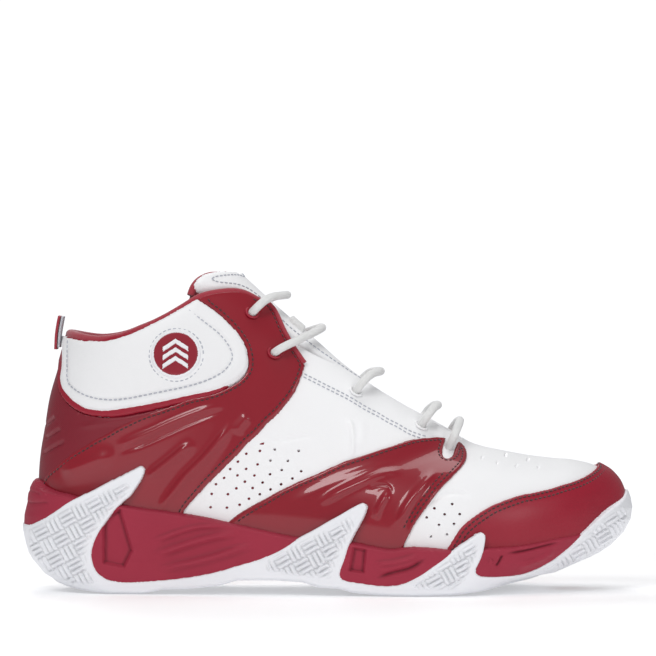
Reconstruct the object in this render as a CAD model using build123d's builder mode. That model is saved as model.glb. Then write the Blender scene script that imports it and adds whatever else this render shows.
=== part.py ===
from build123d import *
import math
import os

# A mid-top basketball shoe for the right foot, in millimetres. +X is the toe, +Z is up, and the
# lateral (outer) side faces -Y. The origin is on the ground, under the middle of the shoe's box.

# ---------------------------------------------------------------- driving dimensions
SOLE_LEDGE = 4.6  # how far the sole stands out beyond the upper
OUTSOLE_WALL = 2.6  # thickness of the rubber that wraps up the sides
OUTSOLE_SLAB = 4.5  # thickness of the rubber under the foot
MIDSOLE_STEP = 0.7  # the foam's side lies this far inside the rubber's
HEEL_TIP = -152.9
TOE_TIP = 152.7
LATERAL, MEDIAL = 1, -1  # direction of an extrusion from the middle plane, along -Y or +Y
HALF_SPAN = 80.0

# Depths below the outer skin of the upper
SKIN = 0.0  # outside of the overlays
BASE = 1.4  # outside of the quarters and vamp
INTERLAY = 3.0  # inside of the quarters and vamp
LINING = 4.4  # outside of the lining where a stiffener or foam lies over it
FOOT = 5.8  # inside of the lining

PIPING = 2.6  # height of the bound edge round the mouth
PIPING_OVERHANG = 0.6
TONGUE_RIDGE = 3.2  # depth of the tongue's cover between the eyelet rows
TONGUE_TOP = 6.2  # depth of the tongue's padding, just inside the lining
TONGUE_UNDER = 11.5
TONGUE_EDGING = 3.0
LOOP_THICKNESS = 1.6
LOOP_PLACE = 99.5  # distance of the lace loop up the instep from the throat's toe end
LOOP_WIDTH = 9.0
LOOP_SPAN = 20.0
BADGE_THICKNESS = 0.8
PULL_TAB_WIDTH = 17.0
LACE_DIAMETER = 4.2
EYELET_DIAMETER = 6.2
LACE_GROOVE = 0.45  # clearance of the grooves that the lace presses into the tongue
KNOT_RADIUS = 3.6
AGLET_DIAMETER = 3.4
AGLET_LENGTH = 13.0
BADGE_RADIUS = 12.0

# The upper is lofted through flat sections that fan from the collar, round the instep, to the toe.
# Each runs from a point behind or under the foot to a point on the ridge over it:
# back x, back z, ridge x, ridge z, girth factor, widest place, back squareness, ridge squareness
SECTIONS = [
    (-121.0, 166.0, -62.0, 180.0, 0.96, 0.44, 2.1, 2.1),
    (-130.5, 129.0, -25.0, 146.0, 1.00, 0.41, 2.1, 2.1),
    (-135.2, 112.0, -6.0, 129.5, 1.03, 0.39, 2.15, 2.1),
    (-139.5, 97.0, 10.0, 115.5, 1.04, 0.37, 2.2, 2.1),
    (-142.0, 82.0, 25.0, 104.5, 1.04, 0.36, 2.25, 2.1),
    (-144.5, 66.0, 40.0, 94.5, 1.03, 0.35, 2.3, 2.1),
    (-145.0, 50.0, 52.0, 87.5, 1.02, 0.34, 2.4, 2.15),
    (-142.5, 34.0, 62.0, 81.5, 1.01, 0.33, 2.7, 2.2),
    (-128.0, 24.0, 70.0, 76.0, 1.00, 0.33, 3.2, 2.25),
    (-85.0, 21.5, 77.0, 73.4, 1.00, 0.32, 4.0, 2.3),
    (-35.0, 18.0, 84.0, 71.8, 1.00, 0.31, 4.5, 2.35),
    (15.0, 13.5, 92.0, 70.2, 1.00, 0.30, 4.5, 2.4),
    (55.0, 12.0, 101.0, 68.6, 1.00, 0.30, 4.5, 2.4),
    (88.0, 13.5, 112.0, 67.2, 1.00, 0.32, 4.2, 2.45),
    (112.0, 17.0, 124.0, 66.0, 1.00, 0.34, 3.8, 2.5),
    (129.0, 21.5, 136.0, 62.5, 1.00, 0.36, 3.2, 2.5),
    (141.0, 26.5, 145.0, 55.5, 1.00, 0.40, 2.8, 2.4),
    (148.0, 31.5, 149.8, 47.0, 1.00, 0.45, 2.3, 2.2),
]
# Half the width of the upper, and how far its middle lies from the shoe's axis (+ is medial)
HALF_WIDTHS = [(-150, 34), (-110, 34), (-60, 34), (-25, 36), (0, 39.5), (25, 45), (50, 49),
               (70, 49.5), (90, 47.5), (110, 42), (125, 35), (137, 26), (145, 18), (152, 8)]
MIDDLES = [(-150, 0), (-110, 0), (-60, -3), (-25, -5.5), (20, -5), (55, -1.5), (80, 2),
           (105, 5), (125, 8), (152, 12)]

# Runs of the lace's route that pass through the upper, by the number of their first point
EYELET_RUNS = [3, 9, 12, 18, 21, 27, 30, 36, 39, 45]

# ---------------------------------------------------------------- side-view lines (x, z)
GROUND_LINE = [(-153.0, 36.0), (-151.5, 24.0), (-145.0, 12.0), (-130.0, 2.7), (-112.0, 0.0), (-92.0, 0.0)]
ARCH_LINE = [(-92.0, 0.0), (-76.0, 3.0), (-45.0, 7.4), (-13.0, 6.4), (8.0, 1.8), (24.0, 0.0)]
TOE_LINE = [(64.0, 0.0), (80.0, 2.4), (97.0, 5.6), (117.0, 9.5), (133.6, 16.5), (148.5, 28.6), (152.7, 41.0),
            (150.4, 50.2)]
# Upper edge of the sole, from heel to toe, with the three rubber spikes that rise from it
HEEL_CUP = [(-153.0, 36.0), (-152.0, 44.0), (-149.5, 52.3), (-146.0, 56.3)]
HEEL_DIP = [(-146.0, 56.3), (-141.0, 51.4), (-125.0, 47.7)]
REAR_SPIKE = [(-125.0, 47.7), (-110.0, 55.0), (-91.5, 64.3)]
REAR_SPIKE_DROP = [(-91.5, 64.3), (-98.0, 49.5), (-101.5, 44.2)]
MIDSOLE_REAR = [(-101.5, 44.2), (-73.0, 40.8), (-40.0, 34.0), (-15.0, 28.8)]
MIDDLE_SPIKE = [(-15.0, 28.8), (0.0, 37.3), (17.5, 46.0)]
MIDDLE_SPIKE_DROP = [(19.0, 43.0), (15.0, 35.0), (11.0, 27.0)]
MIDSOLE_MIDDLE = [(11.0, 27.0), (30.0, 23.8), (45.0, 24.5), (60.0, 22.0)]
FRONT_SPIKE = [(60.0, 22.0), (67.0, 27.2), (75.5, 31.8)]
FRONT_SPIKE_DROP = [(77.5, 29.0), (77.0, 24.0)]
MIDSOLE_FRONT = [(77.0, 24.0), (95.0, 24.8), (115.0, 28.3), (126.0, 29.8)]
TOE_BUMPER = [(126.0, 29.8), (140.0, 41.0), (150.4, 50.2)]
RUBBER_HEEL = [(-153.5, 33.5), (-146.0, 35.0), (-135.0, 41.5), (-125.0, 47.7)]
# Lower edge of the rubber's visible side, under the foam's three windows
REAR_WINDOW = [(-101.5, 44.2), (-112.0, 32.5), (-116.5, 20.0), (-112.0, 9.5), (-100.0, 6.5), (-84.0, 7.4),
               (-54.0, 12.2), (-30.0, 20.0), (-15.0, 28.8)]
MIDDLE_WINDOW = [(11.0, 27.0), (7.5, 17.5), (6.0, 9.5), (15.0, 7.0), (28.0, 5.8), (40.0, 8.4), (60.0, 22.0)]
FRONT_WINDOW = [(77.0, 24.0), (74.0, 16.5), (73.5, 11.0), (85.0, 9.8), (100.0, 11.8), (113.0, 18.4),
                (126.0, 29.8)]

# Panels of the upper, each a closed outline of curves joined end to end
WING = [
    [(-143.5, 53.0), (-130.0, 67.5), (-110.0, 79.5), (-85.0, 91.0), (-60.0, 98.8), (-45.0, 105.3)],
    [(-45.0, 105.3), (-39.5, 114.0), (-45.0, 129.0), (-65.0, 145.3)],
    [(-65.0, 145.3), (-70.0, 165.0)],
    [(-70.0, 165.0), (-20.0, 165.0)],
    [(-20.0, 165.0), (-27.0, 140.3), (-19.0, 125.0), (-11.3, 113.3)],
    [(-11.3, 113.3), (-19.0, 97.0), (-35.0, 80.0), (-55.0, 60.0), (-72.0, 41.0)],
    [(-72.0, 41.0), (-75.0, 30.0)],
    [(-75.0, 30.0), (-150.0, 30.0)],
    [(-150.0, 30.0), (-143.5, 53.0)],
]
COLLAR = [
    [(-65.0, 145.3), (-45.0, 129.0), (-39.5, 114.0), (-45.0, 105.3)],
    [(-45.0, 105.3), (-60.0, 98.8), (-85.0, 91.0), (-110.0, 88.2), (-128.0, 93.0), (-134.0, 105.0)],
    [(-134.0, 105.0), (-134.0, 135.0)],
    [(-134.0, 135.0), (-70.0, 165.0)],
    [(-70.0, 165.0), (-65.0, 145.3)],
]
HEEL_PANEL = [
    [(-143.5, 53.0), (-130.0, 67.5), (-110.0, 79.5), (-85.0, 91.0)],
    [(-85.0, 91.0), (-110.0, 88.2), (-128.0, 93.0), (-134.0, 105.0)],
    [(-134.0, 105.0), (-134.0, 135.0)],
    [(-134.0, 135.0), (-160.0, 135.0)],
    [(-160.0, 135.0), (-160.0, 53.0)],
    [(-160.0, 53.0), (-143.5, 53.0)],
]
FRONT_OVERLAY = [
    [(-52.0, 33.0), (-30.0, 48.0), (0.0, 62.7), (30.0, 73.5), (45.0, 77.3), (59.3, 77.2)],
    [(59.3, 77.2), (57.0, 68.5), (63.0, 71.0), (66.5, 75.0)],
    [(66.5, 75.0), (66.0, 64.0), (50.0, 46.5), (37.0, 23.0)],
    [(37.0, 23.0), (-52.0, 20.0)],
    [(-52.0, 20.0), (-52.0, 33.0)],
]
TOE_CAP = [
    [(58.5, 21.0), (65.0, 33.5), (80.0, 44.5), (105.0, 51.5), (125.0, 56.8), (135.5, 62.5), (131.0, 72.0)],
    [(131.0, 72.0), (160.0, 72.0)],
    [(160.0, 72.0), (160.0, 15.0)],
    [(160.0, 15.0), (58.5, 21.0)],
]
VAMP_REAR_EDGE = [(9.0, 10.0), (11.5, 60.0), (12.2, 78.0), (9.0, 88.0), (12.0, 130.0)]
COUNTER = [[(-160, 30), (-90, 30), (-84, 60), (-100, 88), (-160, 96)], [(-160, 30)]]
PUFF = [[(160, 15)], [(100, 15)], [(98, 40), (101, 75)], [(160, 75)]]
COLLAR_FOAM = [[(-160, 98), (-110, 94), (-60, 103), (-44, 112), (-50, 132), (-70, 150)], [(-160, 150)]]
REAR_LINING = [[(-40, 10), (-36, 60), (-34, 160)], [(-170, 160)], [(-170, 10)]]
# Where the upper is lasted on to its board, and the top of the removable insole
FEATHER_LINE = [(-170, 36), (-110, 30), (-40, 25), (20, 20.5), (70, 20.5), (110, 25), (135, 31.5), (170, 44)]
SOCKLINER_TOP = [(-170, 40), (-110, 34), (-40, 30), (20, 24), (70, 22.5), (110, 27.5), (135, 34), (170, 46)]
SHANK_LINE = [(-75, 13.6), (-30, 13.2), (20, 8.4)]
SHANK_THICKNESS = 1.5
SHANK_WIDTH = 24
# Top line of the collar, from the heel to the top of the eyestay
TOP_LINE = [(-160.0, 128.0), (-131.0, 128.3), (-110.0, 127.8), (-95.0, 132.0), (-70.0, 147.3), (-50.0, 152.2),
            (-40.0, 150.5), (-30.0, 144.3), (-18.0, 140.0)]
# Pull tab behind the heel, and the top edge of the tongue
PULL_TAB = [[(-136.2, 120.5)], [(-135.6, 137.7)], [(-132.4, 137.7)], [(-133.4, 120.5)]]
TONGUE_TOP_LINE = [(-90, 157.4), (-60, 157.8), (-30, 157.2)]
BADGE_CENTRE = (-74.5, 117.2)
# The lace, from its end tucked inside the lateral collar, over and back through five pairs of eyelets,
# to a stopper knot under the lowest medial one
LACE_ROUTE = [
    (-74.0, -26.0, 116.0), (-63.0, -26.0, 124.5), (-52.0, -22.0, 131.5), (-41.6, -17.6, 134.6),
    (-36.3, -30.5, 141.0), (-29.5, -25.0, 147.0), (-21.0, -8.0, 147.6), (-20.5, 5.0, 147.6),
    (-28.5, 20.5, 146.6), (-36.0, 28.0, 141.2), (-41.8, 15.0, 135.2), (-35.4, 15.0, 126.0),
    (-29.6, 16.5, 117.1), (-25.4, 31.2, 120.7), (-17.0, 28.0, 126.4), (-3.5, 9.0, 131.5),
    (-3.0, -9.0, 131.0), (-15.0, -28.5, 125.6), (-25.4, -36.2, 120.9), (-29.4, -21.3, 116.4),
    (-12.0, -20.5, 108.8), (10.2, -18.7, 95.0), (16.2, -29.4, 104.3), (21.5, -22.0, 109.0),
    (26.0, -9.0, 109.5), (26.0, 3.5, 109.5), (21.0, 16.0, 109.0), (16.2, 23.4, 104.4),
    (10.3, 12.0, 95.3), (26.0, 11.5, 87.5), (42.8, 11.6, 76.9), (48.8, 20.9, 88.2),
    (52.6, 13.0, 92.0), (54.6, 4.0, 92.6), (54.6, -6.5, 92.6), (52.6, -16.5, 92.0),
    (49.0, -24.7, 87.9), (42.0, -16.2, 77.0), (49.5, -16.6, 70.5), (56.7, -18.0, 65.7),
    (61.8, -26.8, 77.3), (64.4, -20.0, 83.0), (65.6, -7.0, 84.8), (65.6, 6.0, 84.8),
    (64.2, 18.0, 83.2), (61.0, 25.3, 77.4), (58.4, 17.5, 67.2),
]


# ---------------------------------------------------------------- shared geometry
def smooth_value(table, x):
    """Value at x of the smooth curve through a table of (x, value) points."""
    if x <= table[0][0]:
        return table[0][1]
    for i in range(len(table) - 1):
        x1, y1 = table[i]
        x2, y2 = table[i + 1]
        if x <= x2:
            x0, y0 = table[max(i - 1, 0)]
            x3, y3 = table[min(i + 2, len(table) - 1)]
            slope1 = (y2 - y0) / (x2 - x0)
            slope2 = (y3 - y1) / (x3 - x1)
            t = (x - x1) / (x2 - x1)
            span = x2 - x1
            return ((2 * t**3 - 3 * t**2 + 1) * y1 + (t**3 - 2 * t**2 + t) * span * slope1
                    + (3 * t**2 - 2 * t**3) * y2 + (t**3 - t**2) * span * slope2)
    return table[-1][1]


def moved_inward(points, k, depth, turn):
    """Point k of a side-view line, moved by depth square to the line, to the side that turn gives."""
    ahead = points[min(k + 1, len(points) - 1)]
    behind = points[max(k - 1, 0)]
    run, rise = ahead[0] - behind[0], ahead[1] - behind[1]
    length = math.hypot(run, rise)
    return points[k][0] - turn * depth * rise / length, points[k][1] + turn * depth * run / length


def upper_section(k, depth):
    """Plane and outline points of section k of the upper, depth inside the outer skin."""
    backs = [(s[0], s[1]) for s in SECTIONS]
    ridges = [(s[2], s[3]) for s in SECTIONS]
    back_x, back_z = moved_inward(backs, k, depth, 1)
    ridge_x, ridge_z = moved_inward(ridges, k, depth, -1)
    girth, widest, square_back, square_ridge = SECTIONS[k][4:]
    run, rise = ridge_x - back_x, ridge_z - back_z
    length = math.hypot(run, rise)
    plane = Plane(origin=(back_x, 0, back_z), x_dir=(run, 0, rise), z_dir=(-rise, 0, run))
    lean = min(1, 0.2 + 0.1 * k)
    steps = 12
    outline = []
    for side in (-1, 1):
        for i in range(steps):
            turn = math.pi * (i if side < 0 else steps - i) / steps
            square = square_back if turn < math.pi / 2 else square_ridge
            reach = math.copysign(abs(math.cos(turn)) ** (2 / square), -math.cos(turn))
            place = widest + reach * (widest if reach < 0 else 1 - widest)
            x = back_x + place * run
            half_width = smooth_value(HALF_WIDTHS, x) * girth - depth
            y = side * half_width * abs(math.sin(turn)) ** (2 / square)
            outline.append((place * length, smooth_value(MIDDLES, x) * lean + y))
    return plane, outline


def upper_solid(depth):
    """The whole space inside the upper, depth below its outer skin."""
    with BuildPart() as solid:
        for k in range(len(SECTIONS)):
            plane, outline = upper_section(k, depth)
            with BuildSketch(plane):
                with BuildLine():
                    Polyline(*outline, close=True)
                make_face()
        loft(ruled=True)
    return solid.part


def sole_points(grow):
    """Plan outline of the sole, closed, grown outward by an amount."""
    def side_point(x, side):
        heel = min(max((HEEL_TIP - x) / 44.0 + 1, 0), 1)
        half = (smooth_value(HALF_WIDTHS, x) + SOLE_LEDGE) * (1 - heel**2.2) ** (1 / 2.2)
        return x, smooth_value(MIDDLES, x) + side * (half + grow)

    stations = [-149.5, -140, -125, -105, -75, -45, -15, 15, 45, 75, 100, 120, 135, 145]
    there = [side_point(x, -1) for x in stations]
    back = [side_point(x, 1) for x in reversed(stations)]
    toe = [(150.6 + grow, 1.0), (TOE_TIP + grow, 12.0), (150.6 + grow, 22.0)]
    return [(HEEL_TIP - grow, 0)] + there + toe + back


def side_view(*runs, y=0.0):
    """Closed outline seen from the side, of curves that follow on from each other, at a given y."""
    with BuildSketch(Plane.XZ.offset(-y)) as view:
        with BuildLine():
            for run in joined(*runs):
                if len(run) == 2:
                    Line(*run)
                else:
                    Spline(*run)
        make_face()
    return view.sketch


def joined(*runs):
    """The runs, with a straight line wherever one starts away from the end of the last."""
    whole = []
    for i, run in enumerate(runs):
        last = runs[i - 1][-1]
        if math.dist(last, run[0]) > 1e-6:
            whole.append([last, run[0]])
        if len(run) > 1:
            whole.append(run)
    return whole


SOLE_TOP = [HEEL_CUP, HEEL_DIP, REAR_SPIKE, REAR_SPIKE_DROP, MIDSOLE_REAR, MIDDLE_SPIKE, MIDDLE_SPIKE_DROP,
            MIDSOLE_MIDDLE, FRONT_SPIKE, FRONT_SPIKE_DROP, MIDSOLE_FRONT, TOE_BUMPER]
RUBBER_TOP = [RUBBER_HEEL, REAR_SPIKE, REAR_SPIKE_DROP, REAR_WINDOW, MIDDLE_SPIKE, MIDDLE_SPIKE_DROP,
              MIDDLE_WINDOW, FRONT_SPIKE, FRONT_SPIKE_DROP, FRONT_WINDOW, TOE_BUMPER]
GROUND = [GROUND_LINE, ARCH_LINE, TOE_LINE]


def sole_block(grow, lift):
    """The sole's envelope, with its sides grown and its bottom lifted."""
    levels = [(-2, -4.5), (5, -1.2), (16, 0), (34, 0), (70, -2.0)]
    with BuildPart() as block:
        for z, flare in levels:
            with BuildSketch(Plane.XY.offset(z)):
                with BuildLine():
                    Polyline(*sole_points(grow + flare), close=True)
                make_face()
        loft(ruled=True)
        bottom = [[(x, z + lift) for x, z in run] for run in GROUND]
        profile = side_view(*bottom, [(170, 90)], [(-170, 90)], y=HALF_SPAN)
        extrude(profile, amount=2 * HALF_SPAN, mode=Mode.INTERSECT)
    return block.part



def side_prism(*runs):
    """Everything that lies inside a side-view outline, across the whole width."""
    with BuildPart() as prism:
        extrude(side_view(*runs, y=HALF_SPAN), amount=2 * HALF_SPAN)
    return prism.part


def shell(outer, inner):
    """What lies between two depths of the upper, clear of the foot's mouth and the throat."""
    with BuildPart() as layer:
        add(upper_solids[outer])
        add(upper_solids[inner], mode=Mode.SUBTRACT)
        add(above_top_line, mode=Mode.SUBTRACT)
        add(throat, mode=Mode.SUBTRACT)
    return layer.part


def panel(layer, outline, side=None):
    """The part of a layer inside a side-view outline, on one side of the shoe or right across it."""
    with BuildPart() as piece:
        add(layer)
        view = side_view(*outline)
        extrude(view, amount=HALF_SPAN * (side or LATERAL), both=side is None, mode=Mode.INTERSECT)
    return piece


upper_solids = {depth: upper_solid(depth) for depth in (SKIN, BASE, INTERLAY, LINING, FOOT)}

# Throat, cut square to the instep: half-width at each distance up from its toe end
THROAT_PLANE = Plane(origin=(66, -2.2, 76), x_dir=(-112, 0, 87), z_dir=(87, 0, 112))
THROAT_DEPTH = 42
THROAT_EDGE = [(0, 6.5), (40, 10), (65, 14), (85, 20), (103, 21.5), (118, 17), (165, 14)]
TONGUE_EDGE = [(-12, 9), (38, 10.4), (56, 10.8), (82, 14.8), (98, 15.4), (111, 13.6), (121, 12.2), (131, 15),
               (145, 21), (165, 24)]


def instep_prism(edge, grow, start, end):
    """Everything under a tongue-shaped outline on the instep, from start to end along it."""
    widths = [(start, smooth_value(edge, start) + grow)]
    widths += [(s, w + grow) for s, w in edge if start + 5 < s < end - 5]
    widths += [(end, smooth_value(edge, end) + grow)]
    with BuildPart() as prism:
        with BuildSketch(THROAT_PLANE.offset(-THROAT_DEPTH)):
            with BuildLine():
                Spline(*widths)
                Line(widths[-1], (end, -widths[-1][1]))
                Spline(*[(s, -w) for s, w in reversed(widths)])
                Line((start, -widths[0][1]), widths[0])
            make_face()
        extrude(amount=2 * THROAT_DEPTH)
    return prism.part


throat = instep_prism(THROAT_EDGE, 0, 0, 165)
with BuildPart() as eyelets:
    for first in EYELET_RUNS:
        inside, outside = Vector(*LACE_ROUTE[first]), Vector(*LACE_ROUTE[first + 1])
        with BuildSketch(Plane(origin=inside, z_dir=outside - inside)):
            Circle(EYELET_DIAMETER / 2)
        extrude(amount=(outside - inside).length)

bound_edge = [(x, z - PIPING) for x, z in TOP_LINE]
above_top_line = side_prism(bound_edge, [(-18, 190)], [(-160, 190)])
under_sole_top = side_prism(*SOLE_TOP, [(165, 50.2)], [(165, -20)], [(-165, -20)], [(-165, 36.0)])

under_feather = side_prism(FEATHER_LINE, [(170, -10)], [(-170, -10)])
ahead_of_quarters = side_prism(VAMP_REAR_EDGE, [(170, 130)], [(170, 10)])

skin_layer = shell(SKIN, BASE) - under_sole_top
base_layer = shell(BASE, INTERLAY) - eyelets.part
stiff_layer = shell(INTERLAY, LINING) - eyelets.part
lining_layer = shell(INTERLAY, FOOT) - eyelets.part

above_tongue = side_prism(TONGUE_TOP_LINE, [(-30, 200)], [(-90, 200)])

# ---------------------------------------------------------------- overlays
toe_cap = panel(skin_layer, TOE_CAP)
heel_panel = panel(skin_layer, HEEL_PANEL)
rear_overlay_lateral = panel(skin_layer - eyelets.part, WING, LATERAL)
rear_overlay_medial = panel(skin_layer - eyelets.part, WING, MEDIAL)
front_overlay_lateral = panel(skin_layer, FRONT_OVERLAY, LATERAL)
front_overlay_medial = panel(skin_layer, FRONT_OVERLAY, MEDIAL)
collar_panel_lateral = panel(skin_layer, COLLAR, LATERAL)
collar_panel_medial = panel(skin_layer, COLLAR, MEDIAL)

# ---------------------------------------------------------------- base of the upper
with BuildPart() as strobel_board:
    add(upper_solids[BASE])
    add(upper_solids[FOOT], mode=Mode.SUBTRACT)
    add(under_feather, mode=Mode.INTERSECT)

with BuildPart() as vamp:
    add(base_layer)
    add(under_feather, mode=Mode.SUBTRACT)
    add(ahead_of_quarters, mode=Mode.INTERSECT)


def quarter(side):
    """One side of the base, from the heel seam to the vamp."""
    with BuildPart() as piece:
        add(base_layer)
        add(under_feather, mode=Mode.SUBTRACT)
        add(ahead_of_quarters, mode=Mode.SUBTRACT)
        with Locations((0, -side * HALF_SPAN / 2, 90)):
            Box(340, HALF_SPAN, 200, mode=Mode.INTERSECT)
    return piece


quarter_lateral = quarter(LATERAL)
quarter_medial = quarter(MEDIAL)

# ---------------------------------------------------------------- stiffeners, foam and lining
with BuildPart() as stiff_above_board:
    add(stiff_layer)
    add(under_feather, mode=Mode.SUBTRACT)
heel_counter = panel(stiff_above_board.part, COUNTER)
toe_puff = panel(stiff_above_board.part, PUFF)
with BuildPart() as collar_foam:
    add(panel(stiff_layer, COLLAR_FOAM).part)
    add(heel_counter.part, mode=Mode.SUBTRACT)

with BuildPart() as whole_lining:
    add(lining_layer)
    add(under_feather, mode=Mode.SUBTRACT)
    for piece in (heel_counter, toe_puff, collar_foam):
        add(piece.part, mode=Mode.SUBTRACT)
collar_lining = panel(whole_lining.part, REAR_LINING)
with BuildPart() as vamp_lining:
    add(whole_lining.part)
    add(collar_lining.part, mode=Mode.SUBTRACT)

with BuildPart() as sockliner:
    add(upper_solids[FOOT])
    add(side_prism(SOCKLINER_TOP, [(170, -10)], [(-170, -10)]), mode=Mode.INTERSECT)

# ---------------------------------------------------------------- sole
with BuildPart() as outsole:
    add(sole_block(0, 0))
    add(side_prism(*RUBBER_TOP, [(165, 50.2)], [(165, -20)], [(-165, -20)], [(-165, 33.5)]),
        mode=Mode.INTERSECT)
    add(sole_block(-OUTSOLE_WALL, OUTSOLE_SLAB), mode=Mode.SUBTRACT)
    add(upper_solids[BASE], mode=Mode.SUBTRACT)
with BuildPart() as shank:
    shank_top = [(x, z + SHANK_THICKNESS) for x, z in reversed(SHANK_LINE)]
    extrude(side_view(SHANK_LINE, shank_top, y=SHANK_WIDTH / 2), amount=SHANK_WIDTH)

with BuildPart() as midsole_blank:
    add(sole_block(-MIDSOLE_STEP, MIDSOLE_STEP))
    add(under_sole_top, mode=Mode.INTERSECT)
    add(outsole.part, mode=Mode.SUBTRACT)
    add(upper_solids[BASE], mode=Mode.SUBTRACT)
    add(shank.part, mode=Mode.SUBTRACT)

with BuildPart() as midsole:
    # the largest solid: the cuts leave a crumb of foam behind a spike
    add(midsole_blank.part.solids().sort_by(SortBy.VOLUME)[-1])

# ---------------------------------------------------------------- trim
with BuildPart() as collar_piping:
    add(upper_solid(-PIPING_OVERHANG))
    add(upper_solids[FOOT], mode=Mode.SUBTRACT)
    add(side_prism(bound_edge, TOP_LINE[::-1]), mode=Mode.INTERSECT)
    add(throat, mode=Mode.SUBTRACT)


def ankle_badge(side):
    """A round patch that stands a little proud of the collar panel."""
    with BuildPart() as piece:
        add(upper_solid(-BADGE_THICKNESS))
        add(upper_solids[SKIN], mode=Mode.SUBTRACT)
        with BuildSketch(Plane.XZ):
            with Locations(BADGE_CENTRE):
                Circle(BADGE_RADIUS)
        extrude(amount=side * HALF_SPAN, mode=Mode.INTERSECT)
    return piece


ankle_badge_lateral = ankle_badge(LATERAL)
ankle_badge_medial = ankle_badge(MEDIAL)

with BuildPart() as pull_tab:
    extrude(side_view(*PULL_TAB, y=PULL_TAB_WIDTH / 2), amount=PULL_TAB_WIDTH)
    fillet(pull_tab.edges().filter_by(Axis.X).sort_by(Axis.Z)[-2:], PULL_TAB_WIDTH / 4)

# ---------------------------------------------------------------- lace
def corner_radii(route):
    """The largest even bend at each corner: nine tenths of half the shorter run."""
    radii = []
    for before, corner, after in zip(route, route[1:], route[2:]):
        run_in = Vector(*corner) - Vector(*before)
        run_out = Vector(*after) - Vector(*corner)
        half_turn = math.radians(run_in.get_angle(run_out)) / 2
        radii.append(0.45 * min(run_in.length, run_out.length) / math.tan(half_turn))
    return radii


LACE_RADII = corner_radii(LACE_ROUTE)
print("lace radii, mm:", [round(r, 1) for r in LACE_RADII])


def lace_tube(diameter):
    """Round cord along the lace's route."""
    with BuildPart() as tube:
        with BuildLine():
            path = FilletPolyline(*LACE_ROUTE, radius=LACE_RADII)
        with BuildSketch(Plane(origin=path @ 0, z_dir=path % 0)):
            Circle(diameter / 2)
        sweep()
    print("cord", diameter, "volume over section times length:",
          round(tube.part.volume / (path.length * math.pi * diameter**2 / 4), 4), "length", round(path.length))
    return tube


shoe_lace = lace_tube(LACE_DIAMETER)

with BuildPart() as lace_aglet:
    start, ahead = Vector(*LACE_ROUTE[0]), Vector(*LACE_ROUTE[1])
    with BuildSketch(Plane(origin=start, z_dir=start - ahead)):
        Circle(AGLET_DIAMETER / 2)
    extrude(amount=AGLET_LENGTH)
    fillet(lace_aglet.faces().sort_by(Axis.Z)[0].edges(), AGLET_DIAMETER / 5)

with BuildPart() as lace_knot:
    last, before = Vector(*LACE_ROUTE[-1]), Vector(*LACE_ROUTE[-2])
    with Locations(last + (last - before).normalized() * KNOT_RADIUS * 0.7):
        Sphere(KNOT_RADIUS)
    add(shoe_lace.part, mode=Mode.SUBTRACT)

# ---------------------------------------------------------------- tongue
lace_grooves = lace_tube(LACE_DIAMETER + 2 * LACE_GROOVE)

with BuildPart() as tongue:
    add(upper_solid(TONGUE_TOP))
    add(upper_solid(TONGUE_UNDER), mode=Mode.SUBTRACT)
    add(instep_prism(TONGUE_EDGE, 0, -12, 160), mode=Mode.INTERSECT)
    add(above_tongue, mode=Mode.SUBTRACT)
    add(lace_grooves.part, mode=Mode.SUBTRACT)

with BuildPart() as tongue_cover:
    add(upper_solid(TONGUE_RIDGE))
    add(upper_solid(TONGUE_TOP), mode=Mode.SUBTRACT)
    add(instep_prism(THROAT_EDGE, -0.8, 1.0, 160), mode=Mode.INTERSECT)
    add(instep_prism(TONGUE_EDGE, -0.4, 0.5, 160), mode=Mode.INTERSECT)
    add(above_tongue, mode=Mode.SUBTRACT)
    add(lace_grooves.part, mode=Mode.SUBTRACT)

with BuildPart() as tongue_binding:
    add(upper_solid(TONGUE_RIDGE - 0.6))
    add(upper_solid(TONGUE_UNDER + 0.6), mode=Mode.SUBTRACT)
    add(instep_prism(TONGUE_EDGE, 0.6, 120, 170), mode=Mode.INTERSECT)
    add(side_prism(TONGUE_TOP_LINE, [(x, z + TONGUE_EDGING) for x, z in reversed(TONGUE_TOP_LINE)]),
        mode=Mode.INTERSECT)

with BuildPart() as tongue_lace_loop:
    add(upper_solid(TONGUE_RIDGE - LOOP_THICKNESS))
    add(upper_solid(TONGUE_RIDGE), mode=Mode.SUBTRACT)
    with BuildSketch(THROAT_PLANE.offset(-THROAT_DEPTH)):
        with Locations((LOOP_PLACE, 0)):
            Rectangle(LOOP_WIDTH, LOOP_SPAN)
    extrude(amount=2 * THROAT_DEPTH, mode=Mode.INTERSECT)

PIECES = dict(outsole=outsole, midsole=midsole, shank=shank, strobel_board=strobel_board, sockliner=sockliner,
              vamp=vamp, quarter_lateral=quarter_lateral, quarter_medial=quarter_medial, toe_cap=toe_cap,
              front_overlay_lateral=front_overlay_lateral, front_overlay_medial=front_overlay_medial,
              rear_overlay_lateral=rear_overlay_lateral, rear_overlay_medial=rear_overlay_medial,
              heel_panel=heel_panel, collar_panel_lateral=collar_panel_lateral,
              collar_panel_medial=collar_panel_medial, collar_piping=collar_piping, collar_foam=collar_foam,
              collar_lining=collar_lining, vamp_lining=vamp_lining, heel_counter=heel_counter,
              toe_puff=toe_puff, ankle_badge_lateral=ankle_badge_lateral,
              ankle_badge_medial=ankle_badge_medial, shoe_lace=shoe_lace, lace_aglet=lace_aglet,
              lace_knot=lace_knot, pull_tab=pull_tab, tongue=tongue, tongue_cover=tongue_cover,
              tongue_binding=tongue_binding, tongue_lace_loop=tongue_lace_loop)

os.makedirs("parts", exist_ok=True)
for name, piece in PIECES.items():
    piece.part.label = name
    volumes = [round(solid.volume, 1) for solid in piece.part.solids()]
    print(name, piece.part.is_valid, volumes, flush=True)
    export_step(piece.part, f"parts/{name}.step")
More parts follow.
